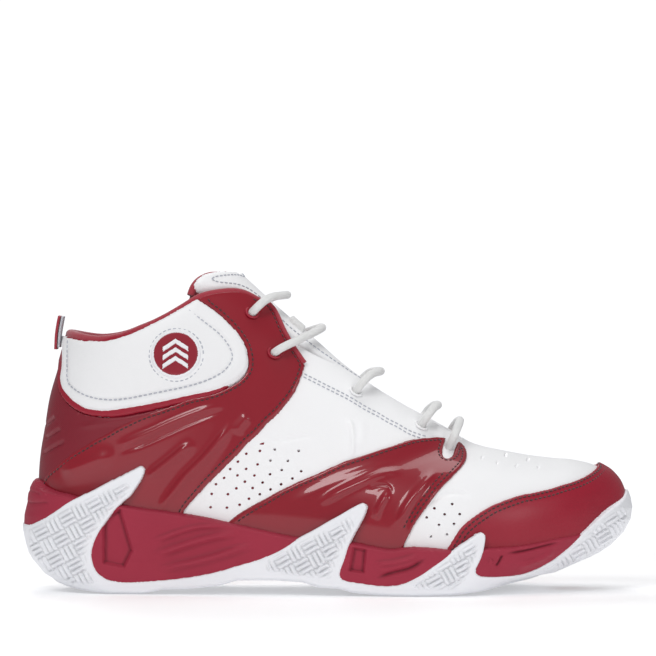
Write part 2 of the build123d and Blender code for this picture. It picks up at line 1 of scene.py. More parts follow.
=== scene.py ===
import math
import bpy
import numpy as np
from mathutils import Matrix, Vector
from mathutils.kdtree import KDTree


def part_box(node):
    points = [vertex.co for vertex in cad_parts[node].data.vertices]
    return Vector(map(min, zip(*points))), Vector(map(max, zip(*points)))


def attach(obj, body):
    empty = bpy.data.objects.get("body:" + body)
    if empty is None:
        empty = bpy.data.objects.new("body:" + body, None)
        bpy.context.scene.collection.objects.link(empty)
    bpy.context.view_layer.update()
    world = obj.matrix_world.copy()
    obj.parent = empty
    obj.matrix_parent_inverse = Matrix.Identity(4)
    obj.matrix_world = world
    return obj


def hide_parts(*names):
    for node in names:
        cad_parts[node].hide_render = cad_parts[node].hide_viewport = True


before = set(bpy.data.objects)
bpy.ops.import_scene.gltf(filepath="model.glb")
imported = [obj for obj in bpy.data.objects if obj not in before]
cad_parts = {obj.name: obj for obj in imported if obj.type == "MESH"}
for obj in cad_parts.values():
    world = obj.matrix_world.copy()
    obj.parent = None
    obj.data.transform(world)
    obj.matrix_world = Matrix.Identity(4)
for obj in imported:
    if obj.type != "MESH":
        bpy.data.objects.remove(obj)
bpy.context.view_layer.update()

# Sizes are millimetres here, in the CAD model's frame: +X toe, +Z up, -Y lateral. Meshes are made in metres.
MM = 0.001
LATERAL, MEDIAL = -1, 1
BODY = "shoe"

# ---------------------------------------------------------------- the upper's form
# Flat sections fan from the collar, round the instep, to the toe. Each runs from a point behind or under the
# foot to a point on the ridge over it:
# back x, back z, ridge x, ridge z, girth factor, widest place, back squareness, ridge squareness
SECTIONS = np.array([
    (-121.0, 166.0, -62.0, 180.0, 0.96, 0.44, 2.1, 2.1),
    (-130.5, 129.0, -25.0, 146.0, 1.00, 0.41, 2.1, 2.1),
    (-135.2, 112.0, -6.0, 129.5, 1.03, 0.39, 2.15, 2.1),
    (-139.5, 97.0, 10.0, 115.5, 1.04, 0.37, 2.2, 2.1),
    (-142.0, 82.0, 25.0, 104.5, 1.04, 0.36, 2.25, 2.1),
    (-144.5, 66.0, 40.0, 94.5, 1.03, 0.35, 2.3, 2.1),
    (-145.0, 50.0, 52.0, 87.5, 1.02, 0.34, 2.4, 2.15),
    (-142.5, 34.0, 62.0, 81.5, 1.01, 0.33, 2.7, 2.2),
    (-128.0, 24.0, 70.0, 76.0, 1.00, 0.33, 3.2, 2.25),
    (-85.0, 21.5, 77.0, 73.4, 1.00, 0.32, 4.0, 2.3),
    (-35.0, 18.0, 84.0, 71.8, 1.00, 0.31, 4.5, 2.35),
    (15.0, 13.5, 92.0, 70.2, 1.00, 0.30, 4.5, 2.4),
    (55.0, 12.0, 101.0, 68.6, 1.00, 0.30, 4.5, 2.4),
    (88.0, 13.5, 112.0, 67.2, 1.00, 0.32, 4.2, 2.45),
    (112.0, 17.0, 124.0, 66.0, 1.00, 0.34, 3.8, 2.5),
    (129.0, 21.5, 136.0, 62.5, 1.00, 0.36, 3.2, 2.5),
    (141.0, 26.5, 145.0, 55.5, 1.00, 0.40, 2.8, 2.4),
    (148.0, 31.5, 149.8, 47.0, 1.00, 0.45, 2.3, 2.2),
])
HALF_WIDTHS = [(-150, 34), (-110, 34), (-60, 34), (-25, 36), (0, 39.5), (25, 45), (50, 49),
               (70, 49.5), (90, 47.5), (110, 42), (125, 35), (137, 26), (145, 18), (152, 8)]
MIDDLES = [(-150, 0), (-110, 0), (-60, -3), (-25, -5.5), (20, -5), (55, -1.5), (80, 2),
           (105, 5), (125, 8), (152, 12)]
LAST = len(SECTIONS) - 1

# Depths below the outer skin, as in the CAD model
SKIN, BASE, INTERLAY, FOOT = 0.0, 1.4, 3.0, 5.8


def smooth_values(table, x):
    """Values at x of the smooth curve through a table of (x, value) points."""
    xs, ys = np.array(table, float).T
    slopes = np.gradient(ys, xs)
    slopes[1:-1] = (ys[2:] - ys[:-2]) / (xs[2:] - xs[:-2])
    x = np.clip(x, xs[0], xs[-1])
    i = np.clip(np.searchsorted(xs, x, side="right") - 1, 0, len(xs) - 2)
    span = xs[i + 1] - xs[i]
    t = (x - xs[i]) / span
    return ((2 * t**3 - 3 * t**2 + 1) * ys[i] + (t**3 - 2 * t**2 + t) * span * slopes[i]
            + (3 * t**2 - 2 * t**3) * ys[i + 1] + (t**3 - t**2) * span * slopes[i + 1])


def section_rows(k):
    """Section values at fractional places along the fan, and how fast they change."""
    k = np.clip(k, 0, LAST - 1e-9)
    i = np.floor(k).astype(int)
    t = (k - i)[..., None]
    p0, p1 = SECTIONS[np.maximum(i - 1, 0)], SECTIONS[i]
    p2, p3 = SECTIONS[i + 1], SECTIONS[np.minimum(i + 2, LAST)]
    m1, m2 = (p2 - p0) / 2, (p3 - p1) / 2
    m1 = np.where((i == 0)[..., None], p2 - p1, m1)
    m2 = np.where((i == LAST - 1)[..., None], p2 - p1, m2)
    row = ((2 * t**3 - 3 * t**2 + 1) * p1 + (t**3 - 2 * t**2 + t) * m1
           + (3 * t**2 - 2 * t**3) * p2 + (t**3 - t**2) * m2)
    rate = ((6 * t**2 - 6 * t) * p1 + (3 * t**2 - 4 * t + 1) * m1
            + (6 * t - 6 * t**2) * p2 + (3 * t**2 - 2 * t) * m2)
    return row, rate


def upper_turn(k, turn, side, depth):
    """Point of the upper at a turn round its section, from 0 at the back to pi at the ridge."""
    row, rate = section_rows(k)
    back_x, back_z, ridge_x, ridge_z, girth, widest, square_back, square_ridge = np.moveaxis(row, -1, 0)
    back_speed = np.hypot(rate[..., 0], rate[..., 1]) + 1e-9
    ridge_speed = np.hypot(rate[..., 2], rate[..., 3]) + 1e-9
    back_x = back_x - depth * rate[..., 1] / back_speed
    back_z = back_z + depth * rate[..., 0] / back_speed
    ridge_x = ridge_x + depth * rate[..., 3] / ridge_speed
    ridge_z = ridge_z - depth * rate[..., 2] / ridge_speed
    square = np.where(turn < np.pi / 2, square_back, square_ridge)
    cos, sin = -np.cos(turn), np.sin(turn)
    reach = np.sign(cos) * np.abs(cos) ** (2 / square)
    place = widest + reach * np.where(reach < 0, widest, 1 - widest)
    x = back_x + place * (ridge_x - back_x)
    z = back_z + place * (ridge_z - back_z)
    half = smooth_values(HALF_WIDTHS, x) * girth - depth
    lean = np.minimum(1, 0.2 + 0.1 * k)
    y = smooth_values(MIDDLES, x) * lean + side * half * np.abs(sin) ** (2 / square)
    return np.stack([x, y, z], -1)


# Turn at each place of the fan for each even fraction of the way round, from the back (0) to the ridge (1)
TURN_K = np.linspace(0, LAST, 35 * LAST + 1)
TURN_F = np.linspace(0, 1, 241)


def turn_table():
    turns = np.linspace(0, np.pi, 700)
    k = np.repeat(TURN_K[:, None], len(turns), 1)
    points = upper_turn(k, np.repeat(turns[None, :], len(TURN_K), 0), 1, 0.0)
    steps = np.linalg.norm(np.diff(points, axis=1), axis=2)
    run = np.concatenate([np.zeros((len(TURN_K), 1)), np.cumsum(steps, 1)], 1)
    run /= run[:, -1:]
    return np.array([np.interp(TURN_F, row, turns) for row in run])


TURN_TABLE = turn_table()


def bilinear(table, rows, cols):
    i = np.clip(np.floor(rows).astype(int), 0, table.shape[0] - 2)
    j = np.clip(np.floor(cols).astype(int), 0, table.shape[1] - 2)
    s, t = rows - i, cols - j
    return ((1 - s) * (1 - t) * table[i, j] + s * (1 - t) * table[i + 1, j]
            + (1 - s) * t * table[i, j + 1] + s * t * table[i + 1, j + 1])


class Upper:
    """u is the place along the fan; v is 0 at the back seam, 1 at the ridge on the medial side, -1 on the
    lateral side, and it may pass 1 to run over the ridge on to the lateral side."""

    u_range = (0.0, LAST - 0.001)

    @staticmethod
    def at(u, v, depth):
        u, v, depth = np.broadcast_arrays(np.asarray(u, float), v, depth)
        v = (v + 1) % 2 - 1
        side = np.where(v < 0, -1.0, 1.0)
        turn = bilinear(TURN_TABLE, np.clip(u, 0, LAST) / LAST * (len(TURN_K) - 1), np.abs(v) * (len(TURN_F) - 1))
        return upper_turn(u, turn, side, depth)

    @staticmethod
    def find(x, z, side):
        """Place (u, |v|) on the skin seen from the side at x, z, and whether there is one."""
        u = np.linspace(0, LAST, 1701)
        row, _ = section_rows(u)
        run, rise = row[:, 2] - row[:, 0], row[:, 3] - row[:, 1]
        length = np.hypot(run, rise)
        off = (run * (z[:, None] - row[:, 1]) - rise * (x[:, None] - row[:, 0])) / length
        along = (run * (x[:, None] - row[:, 0]) + rise * (z[:, None] - row[:, 1])) / length**2
        cost = np.abs(off) + np.where((along < -0.03) | (along > 1.03), 1e3, 0)
        best = np.argmin(cost, 1)
        n = np.arange(len(x))
        near = np.clip(best + np.where(off[n, best] * off[n, np.minimum(best + 1, 1700)] < 0, 1, -1), 0, 1700)
        share = off[n, best] / np.where(off[n, best] == off[n, near], 1, off[n, best] - off[n, near])
        share = np.clip(share, -1, 1)
        place_u = u[best] + share * (u[near] - u[best])
        along = along[n, best] + share * (along[n, near] - along[n, best])
        row, _ = section_rows(place_u)
        widest = row[:, 5]
        reach = (along - widest) / np.where(along < widest, widest, 1 - widest)
        square = np.where(along < widest, row[:, 6], row[:, 7])
        turn = np.arccos(np.clip(-np.sign(reach) * np.minimum(np.abs(reach), 1) ** (square / 2), -1, 1))
        rows = np.clip(place_u / LAST * (len(TURN_K) - 1), 0, len(TURN_K) - 1)
        v = np.array([np.interp(a, TURN_TABLE[int(round(r))], TURN_F) for a, r in zip(turn, rows)])
        return place_u, v, (cost[n, best] < 1.5) & (np.abs(reach) < 1)


# ---------------------------------------------------------------- meshes from surface patches
def slice_mesh(data, tris, column, level, keep_below=True):
    """Cut triangles along a level of one data column. data rows are points; every column is interpolated."""
    s = data[:, column] - level
    inside = s >= 0
    count = inside[tris].sum(1)
    whole = tris[count == 3] if not keep_below else tris[(count == 3) | (count == 0)]
    crossing = tris[(count == 1) | (count == 2)]
    lone_in = (inside[crossing].sum(1) == 1)[:, None]
    lone = np.argmax(inside[crossing] == lone_in, 1)
    n = np.arange(len(crossing))
    a, b, c = crossing[n, lone], crossing[n, (lone + 1) % 3], crossing[n, (lone + 2) % 3]
    edges = np.concatenate([np.stack([a, b], 1), np.stack([a, c], 1)])
    keys, index = np.unique(np.sort(edges, 1), axis=0, return_inverse=True)
    index = index.reshape(-1)
    p, q = keys[:, 0], keys[:, 1]
    t = (s[p] / (s[p] - s[q]))[:, None]
    fresh = data[p] * (1 - t) + data[q] * t
    fresh[:, column] = level
    ab, ac = index[:len(n)] + len(data), index[len(n):] + len(data)
    tips = np.stack([a, ab, ac], 1)
    rest = np.concatenate([np.stack([ab, b, c], 1), np.stack([ab, c, ac], 1)])
    lone_flat = lone_in[:, 0]
    double = np.concatenate([lone_flat, lone_flat])
    if keep_below:
        tris = np.concatenate([whole, tips, rest])
    else:
        tris = np.concatenate([whole, tips[lone_flat], rest[~double]])
    data = np.concatenate([data, fresh])
    return data, tris, (ab, ac)


def compact(data, tris):
    used, index = np.unique(tris, return_inverse=True)
    return data[used], index.reshape(tris.shape)


def mesh_object(name, points, tris, material, sharp=40.0):
    """A smooth-shaded mesh object from points in millimetres."""
    mesh = bpy.data.meshes.new(name)
    mesh.vertices.add(len(points))
    mesh.vertices.foreach_set("co", (np.asarray(points) * MM).astype(np.float32).ravel())
    corners = tris.shape[1]
    mesh.loops.add(len(tris) * corners)
    mesh.loops.foreach_set("vertex_index", tris.astype(np.int32).ravel())
    mesh.polygons.add(len(tris))
    mesh.polygons.foreach_set("loop_start", np.arange(0, len(tris) * corners, corners, dtype=np.int32))
    mesh.update(calc_edges=True)
    mesh.validate()
    mesh.shade_smooth()
    mesh.set_sharp_from_angle(angle=math.radians(sharp))
    mesh.materials.append(material)
    obj = bpy.data.objects.new(name, mesh)
    bpy.context.scene.collection.objects.link(obj)
    return obj


def finish_piece(obj, body, slot, *nodes):
    """Ride on a body and stand for CAD nodes. The slot argument is not used."""
    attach(obj, body)
    if nodes:
        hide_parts(*nodes)
    return obj


def polyline_distance(points, line):
    """Distance from each point to a polyline, and the fraction of the way along it, in any dimension."""
    line = np.asarray(line, float)
    best = np.full(len(points), 1e9)
    where = np.zeros(len(points))
    lengths = np.linalg.norm(np.diff(line, axis=0), axis=1)
    total, done = lengths.sum(), 0.0
    for a, b, length in zip(line[:-1], line[1:], lengths):
        t = np.clip(((points - a) @ (b - a)) / max(length**2, 1e-12), 0, 1)
        gap = np.linalg.norm(points - (a + t[:, None] * (b - a)), axis=1)
        closer = gap < best
        best = np.where(closer, gap, best)
        where = np.where(closer, (done + t * length) / total, where)
        done += length
    return best, where


def nearest_distance(points, samples):
    """Distance from each point to the nearest of many samples."""
    tree = KDTree(len(samples))
    for i, sample in enumerate(samples.tolist()):
        tree.insert(sample, i)
    tree.balance()
    find = tree.find
    return np.array([find(point)[2] for point in points.tolist()])


def inside_outline(x, z, outline):
    """Even-odd test of points against a closed side-view outline."""
    x1, z1 = outline.T
    x2, z2 = np.roll(outline, -1, 0).T
    result = np.zeros(len(x), bool)
    for a, b, c, d in zip(x1, z1, x2, z2):
        if b == d:
            continue
        crosses = (b > z) != (d > z)
        result ^= crosses & (x < (c - a) * (z - b) / (d - b) + a)
    return result


def curve(points, step=0.7):
    """Smooth curve through points, as closely spaced ones."""
    p = np.asarray(points, float)
    if len(p) == 2:
        n = max(int(np.linalg.norm(p[1] - p[0]) / step), 1)
        return p[0] + (p[1] - p[0]) * np.linspace(0, 1, n, endpoint=False)[:, None]
    ends = np.concatenate([[2 * p[0] - p[1]], p, [2 * p[-1] - p[-2]]])
    out = []
    for p0, p1, p2, p3 in zip(ends[:-3], ends[1:-2], ends[2:-1], ends[3:]):
        n = max(int(np.linalg.norm(p2 - p1) / step), 1)
        d0, d1, d2 = (max(np.linalg.norm(b - a), 1e-6) ** 0.5 for a, b in ((p0, p1), (p1, p2), (p2, p3)))
        m1 = (p1 - p0) / d0 - (p2 - p0) / (d0 + d1) + (p2 - p1) / d1
        m2 = (p2 - p1) / d1 - (p3 - p1) / (d1 + d2) + (p3 - p2) / d2
        t = np.linspace(0, 1, n, endpoint=False)[:, None]
        out.append((2 * t**3 - 3 * t**2 + 1) * p1 + (t**3 - 2 * t**2 + t) * d1 * m1
                   + (3 * t**2 - 2 * t**3) * p2 + (t**3 - t**2) * d1 * m2)
    return np.concatenate(out)


def outline_of(*runs):
    """Closed outline of curves that follow on; a run of one point is a corner."""
    parts = []
    for i, run in enumerate(runs):
        following = runs[(i + 1) % len(runs)][0]
        if len(run) > 1:
            parts.append(curve(run))
        if math.dist(run[-1], following) > 1e-6:
            parts.append(curve([run[-1], following]))
        elif len(run) == 1:
            parts.append(np.array(run, float))
    return np.concatenate(parts)


def round_rim(distance, radius):
    """Height profile of a rolled edge: 0 at the edge, 1 from radius inward."""
    t = np.clip(distance / radius, 0, 1)
    return np.sqrt(np.clip(1 - (1 - t) ** 2, 0, 1))


def ridge(line, width, height, fade=0.25):
    """A raised (or, with a negative height, sunk) line on a panel, that fades out at its ends."""
    path = curve(line, 1.5)

    def relief(points):
        gap, along = polyline_distance(points[:, [0, 2]], path)
        ends = np.clip(np.minimum(along, 1 - along) / max(fade, 1e-3), 0, 1)
        ends = ends * ends * (3 - 2 * ends)
        return height * ends * np.exp(-((gap / width) ** 2))
    return relief


class Panel:
    """A piece cut from a surface along a side-view outline, on one side or right across."""

    def __init__(self, surface, outline, sides, step, u_range=None, v_range=None, holes=(), trims=()):
        self.surface = surface
        samples, found_u, found_v = [], [], []
        for side in sides:
            u, v, real = surface.find(outline[:, 0], outline[:, 1], side)
            samples.append(surface.at(u[real], side * v[real], 0.0))
            found_u.append(u[real])
            found_v.append(side * v[real])
        edge = np.concatenate(samples)
        found_u, found_v = np.concatenate(found_u), np.concatenate(found_v)
        if u_range is None:
            u_range = (max(found_u.min() - 0.1, surface.u_range[0]), min(found_u.max() + 0.1, surface.u_range[1]))
        if v_range is None:
            limits = (0.0, 1.0) if sides[0] > 0 else (-1.0, 0.0)
            v_range = (max(found_v.min() - 0.03, limits[0]), min(found_v.max() + 0.03, limits[1]))
        grid = surface.at(np.linspace(*u_range, 60)[:, None], np.linspace(*v_range, 60)[None, :], 0.0)
        rows = int(np.linalg.norm(np.diff(grid, axis=0), axis=2).sum(0).max() / step) + 2
        cols = int(np.linalg.norm(np.diff(grid, axis=1), axis=2).sum(1).max() / step) + 2
        uu, vv = np.meshgrid(np.linspace(*u_range, rows), np.linspace(*v_range, cols), indexing="ij")
        points = surface.at(uu, vv, 0.0).reshape(-1, 3)
        inside = inside_outline(points[:, 0], points[:, 2], outline)
        gap = nearest_distance(points, edge)
        signed = np.where(inside, gap, -gap)
        for trim in trims:
            signed = np.minimum(signed, trim(points))
        data = [uu.ravel(), vv.ravel(), signed]
        if len(holes):
            centres = np.array(holes, float)
            hubs = []
            for side in sides:
                u, v, _ = surface.find(centres[:, 0], centres[:, 1], side)
                hubs.append(surface.at(u, side * v, 0.0))
            data.append(nearest_distance(points, np.concatenate(hubs)))
        self.data = np.stack(data, 1)
        index = np.arange(rows * cols).reshape(rows, cols)
        a, b, c, d = index[:-1, :-1], index[1:, :-1], index[1:, 1:], index[:-1, 1:]
        quads = np.stack([a, b, c, d], -1).reshape(-1, 4)
        quads = quads[(signed[quads] > -1e-9).any(1)]
        self.tris = np.concatenate([quads[:, [0, 1, 2]], quads[:, [0, 2, 3]]])
        self.data, self.tris = compact(self.data, self.tris)

    def cut(self, levels=(), hole_radius=None):
        """Trim to the outline, score along further distances from the edge, and open the holes."""
        for level in sorted(levels, reverse=True):
            self.data, self.tris, _ = slice_mesh(self.data, self.tris, 2, level)
        self.data, self.tris, _ = slice_mesh(self.data, self.tris, 2, 0.0, keep_below=False)
        if hole_radius:
            self.data, self.tris, _ = slice_mesh(self.data, self.tris, 3, hole_radius, keep_below=False)
        self.data, self.tris = compact(self.data, self.tris)
        return self

    def line_at(self, level, shortest=6.0):
        """Lines on the surface at a distance inside the edge, as lists of (u, v, distance)."""
        data, tris, (ab, ac) = slice_mesh(self.data, self.tris, 2, level)
        links = {}
        for p, q in zip(ab.tolist(), ac.tolist()):
            links.setdefault(p, []).append(q)
            links.setdefault(q, []).append(p)
        lines = []
        while links:
            start = next((p for p, ends in links.items() if len(ends) == 1), next(iter(links)))
            chain = [start]
            while links.get(chain[-1]):
                here = chain[-1]
                there = links[here].pop()
                links[there].remove(here)
                chain.append(there)
            for p in set(chain):
                if not links.get(p):
                    links.pop(p, None)
            line = data[chain]
            spots = self.surface.at(line[:, 0], line[:, 1], 0.0)
            if np.linalg.norm(np.diff(spots, axis=0), axis=1).sum() > shortest:
                lines.append(line)
        return lines

    def build(self, name, material, rest, top, rim=1.0, under=None, reliefs=(), sharp=40.0, extra=None):
        """Closed shell that rests at one depth and rises to another, with a rolled rim and reliefs."""
        base = self.surface.at(self.data[:, 0], self.data[:, 1], 0.0)
        depth = rest - (rest - top) * round_rim(self.data[:, 2], rim)
        for relief in reliefs:
            depth = depth - relief(base) * np.clip(self.data[:, 2] / 1.5, 0, 1)
        if extra is not None:
            depth = depth - extra(base, self.data)
        self.depth = depth
        under = rest + 0.3 if under is None else under
        front = self.surface.at(self.data[:, 0], self.data[:, 1], depth)
        back = self.surface.at(self.data[:, 0], self.data[:, 1], under)
        return self.close(name, front, back, material, sharp)

    def close(self, name, front, back, material, sharp):
        n = len(front)
        tris = self.tris
        a, b, c = front[tris[:, 0]], front[tris[:, 1]], front[tris[:, 2]]
        outward = front - back
        facing = (np.cross(b - a, c - a) * outward[tris[:, 0]]).sum(1).sum()
        if facing < 0:
            tris = tris[:, ::-1]
        edges = np.concatenate([tris[:, [0, 1]], tris[:, [1, 2]], tris[:, [2, 0]]])
        _, first, counts = np.unique(np.sort(edges, 1), axis=0, return_index=True, return_counts=True)
        rim = edges[first[counts == 1]]
        walls = np.concatenate([np.stack([rim[:, 1], rim[:, 0], rim[:, 0] + n], 1),
                                np.stack([rim[:, 1], rim[:, 0] + n, rim[:, 1] + n], 1)])
        every = np.concatenate([tris, tris[:, ::-1] + n, walls])
        return mesh_object(name, np.concatenate([front, back]), every, material, sharp)


# ---------------------------------------------------------------- the sole's form
HEEL_TIP, TOE_TIP = -152.9, 152.7
SOLE_LEDGE = 4.6
# Height, and how far back or forward the sole reaches at it
HEEL_REACH = [(-2, -108), (0.3, -112), (1.5, -122), (2.7, -130), (4.5, -135), (6.3, -139), (8.5, -142), (12, -145),
              (15.5, -148), (19, -150), (24, -151.5), (30, -152.7), (33.5, -153), (38, -152.8), (43, -151.6),
              (49.5, -150.8), (52, -149.8), (54.5, -148.5), (56.5, -146.3), (62, -143)]
TOE_REACH = [(-2, 76), (2, 84), (5.4, 94), (7, 102), (9.5, 117), (13, 125), (16.5, 133.6), (22, 142), (28.6, 148.5),
             (35, 151.8), (41, 152.7), (46, 151.8), (49.8, 150.4), (56, 149), (62, 148)]
FLARE = [(-2, -4.5), (5, -1.2), (16, 0), (34, 0), (70, -2)]
UNDERSIDE = [(-153, 9), (-142, 7.5), (-135, 4.5), (-130, 2.7), (-122, 1.5), (-110, 0.2), (-92, 0.2), (-82, 2.4),
             (-71, 2.6), (-54, 4.4), (-45, 7.2), (-26, 7.4), (-13, 6.6), (-5, 4.0), (5, 3.6), (12, 1.6), (25, 0.4),
             (42, 0), (60, 0.5), (75, 2), (92, 5), (102, 6), (110, 7), (117, 9.5), (125, 13), (134, 16.5)]


def sole_side_points(side):
    stations = [-149.5, -140, -125, -105, -75, -45, -15, 15, 45, 75, 100, 120, 135, 145]
    x = np.array(stations)
    heel = np.clip((HEEL_TIP - x) / 44 + 1, 0, 1)
    half = (smooth_values(HALF_WIDTHS, x) + SOLE_LEDGE) * (1 - heel**2.2) ** (1 / 2.2)
    row = list(zip(x, smooth_values(MIDDLES, x) + side * half))
    before = [(row[0][0], -row[0][1])]
    toe = [(150.6, 12.0 + side * 10.6), (TOE_TIP, 12.0)]
    path = curve(before + [(HEEL_TIP, 0.0)] + row + toe + [(150.6, 12.0 - side * 10.6)], 0.5)
    start = np.argmin(np.linalg.norm(path - (HEEL_TIP, 0.0), axis=1))
    end = np.argmin(np.linalg.norm(path - (TOE_TIP, 12.0), axis=1))
    path = path[start:end + 1]
    run = np.concatenate([[0], np.cumsum(np.linalg.norm(np.diff(path, axis=0), axis=1))])
    even = np.linspace(0, run[-1], 1000)
    path = np.stack([np.interp(even, run, path[:, 0]), np.interp(even, run, path[:, 1])], 1)
    along = np.gradient(path, axis=0)
    along[0], along[-1] = (0, side), (0, -side)
    along /= np.linalg.norm(along, axis=1)[:, None]
    return np.concatenate([path, np.stack([-along[:, 1] * side, along[:, 0] * side], 1)], 1)


SOLE_SIDES = {side: sole_side_points(side) for side in (LATERAL, MEDIAL)}


class Sole:
    """u is the height; v is 0 at the heel tip and 1 (medial) or -1 (lateral) at the toe tip."""

    u_range = (0.5, 66.0)

    @staticmethod
    def at(u, v, depth):
        u, v, depth = np.broadcast_arrays(np.asarray(u, float), v, depth)
        v = (v + 1) % 2 - 1
        spots = np.abs(v) * 999
        columns = []
        for c in range(4):
            lateral = np.interp(spots, np.arange(1000), SOLE_SIDES[LATERAL][:, c])
            medial = np.interp(spots, np.arange(1000), SOLE_SIDES[MEDIAL][:, c])
            columns.append(np.where(v < 0, lateral, medial))
        x, y, nx, ny = columns
        grow = np.interp(u, *np.array(FLARE).T)
        heel = np.clip((-90 - x) / (-90 - HEEL_TIP), 0, 1) ** 1.25
        toe = np.clip((x - 60) / (TOE_TIP - 60), 0, 1) ** 1.25
        x = x + heel * (np.interp(u, *np.array(HEEL_REACH).T) - HEEL_TIP)
        x = x + toe * (np.interp(u, *np.array(TOE_REACH).T) - TOE_TIP)
        return np.stack([x - nx * depth, y + ny * (grow - depth), u + 0 * x], -1)

    @staticmethod
    def find(x, z, side):
        spots = np.linspace(0, 1, 500)
        x_at = Sole.at(z[:, None], side * spots[None, :], 0.0)[..., 0]
        v = np.array([np.interp(a, row, spots) for a, row in zip(x, np.maximum.accumulate(x_at, 1))])
        real = (x > x_at[:, 0]) & (x < x_at[:, -1]) & (z > Sole.u_range[0] - 3) & (z < Sole.u_range[1] + 3)
        return z, v, real


THROAT_ORIGIN = np.array((66.0, -2.2, 76.0))
THROAT_ALONG = np.array((-112.0, 0, 87.0)) / math.hypot(112, 87)
THROAT_EDGE = [(0, 6.5), (40, 10), (65, 14), (85, 20), (103, 21.5), (118, 17), (165, 14)]
TONGUE_EDGE = [(-12, 9), (38, 10.6), (56, 13), (82, 18.5), (98, 19), (111, 16), (121, 16), (131, 19), (145, 29),
               (165, 31)]


COVER_EDGE = [(0, 5.5), (40, 8.6), (65, 12.2), (85, 17.0), (103, 18.0), (118, 15.0), (130, 17.0), (145, 27.0),
              (165, 29.0)]


def throat_spots(points):
    return (points - THROAT_ORIGIN) @ THROAT_ALONG, points[:, 1] - THROAT_ORIGIN[1]


def clear_of_throat(points):
    along, across = throat_spots(points)
    return np.maximum(np.abs(across) - smooth_values(THROAT_EDGE, along), -along)


def within_throat(grow, start=-12.0):
    def trim(points):
        along, across = throat_spots(points)
        return np.minimum(smooth_values(TONGUE_EDGE, along) + grow - np.abs(across), along - start)
    return trim


# ---------------------------------------------------------------- materials
def linear(code):
    """Linear colour from a six-digit code."""
    values = [int(code[i:i + 2], 16) / 255 for i in (0, 2, 4)]
    return [v / 12.92 if v <= 0.04045 else ((v + 0.055) / 1.055) ** 2.4 for v in values]


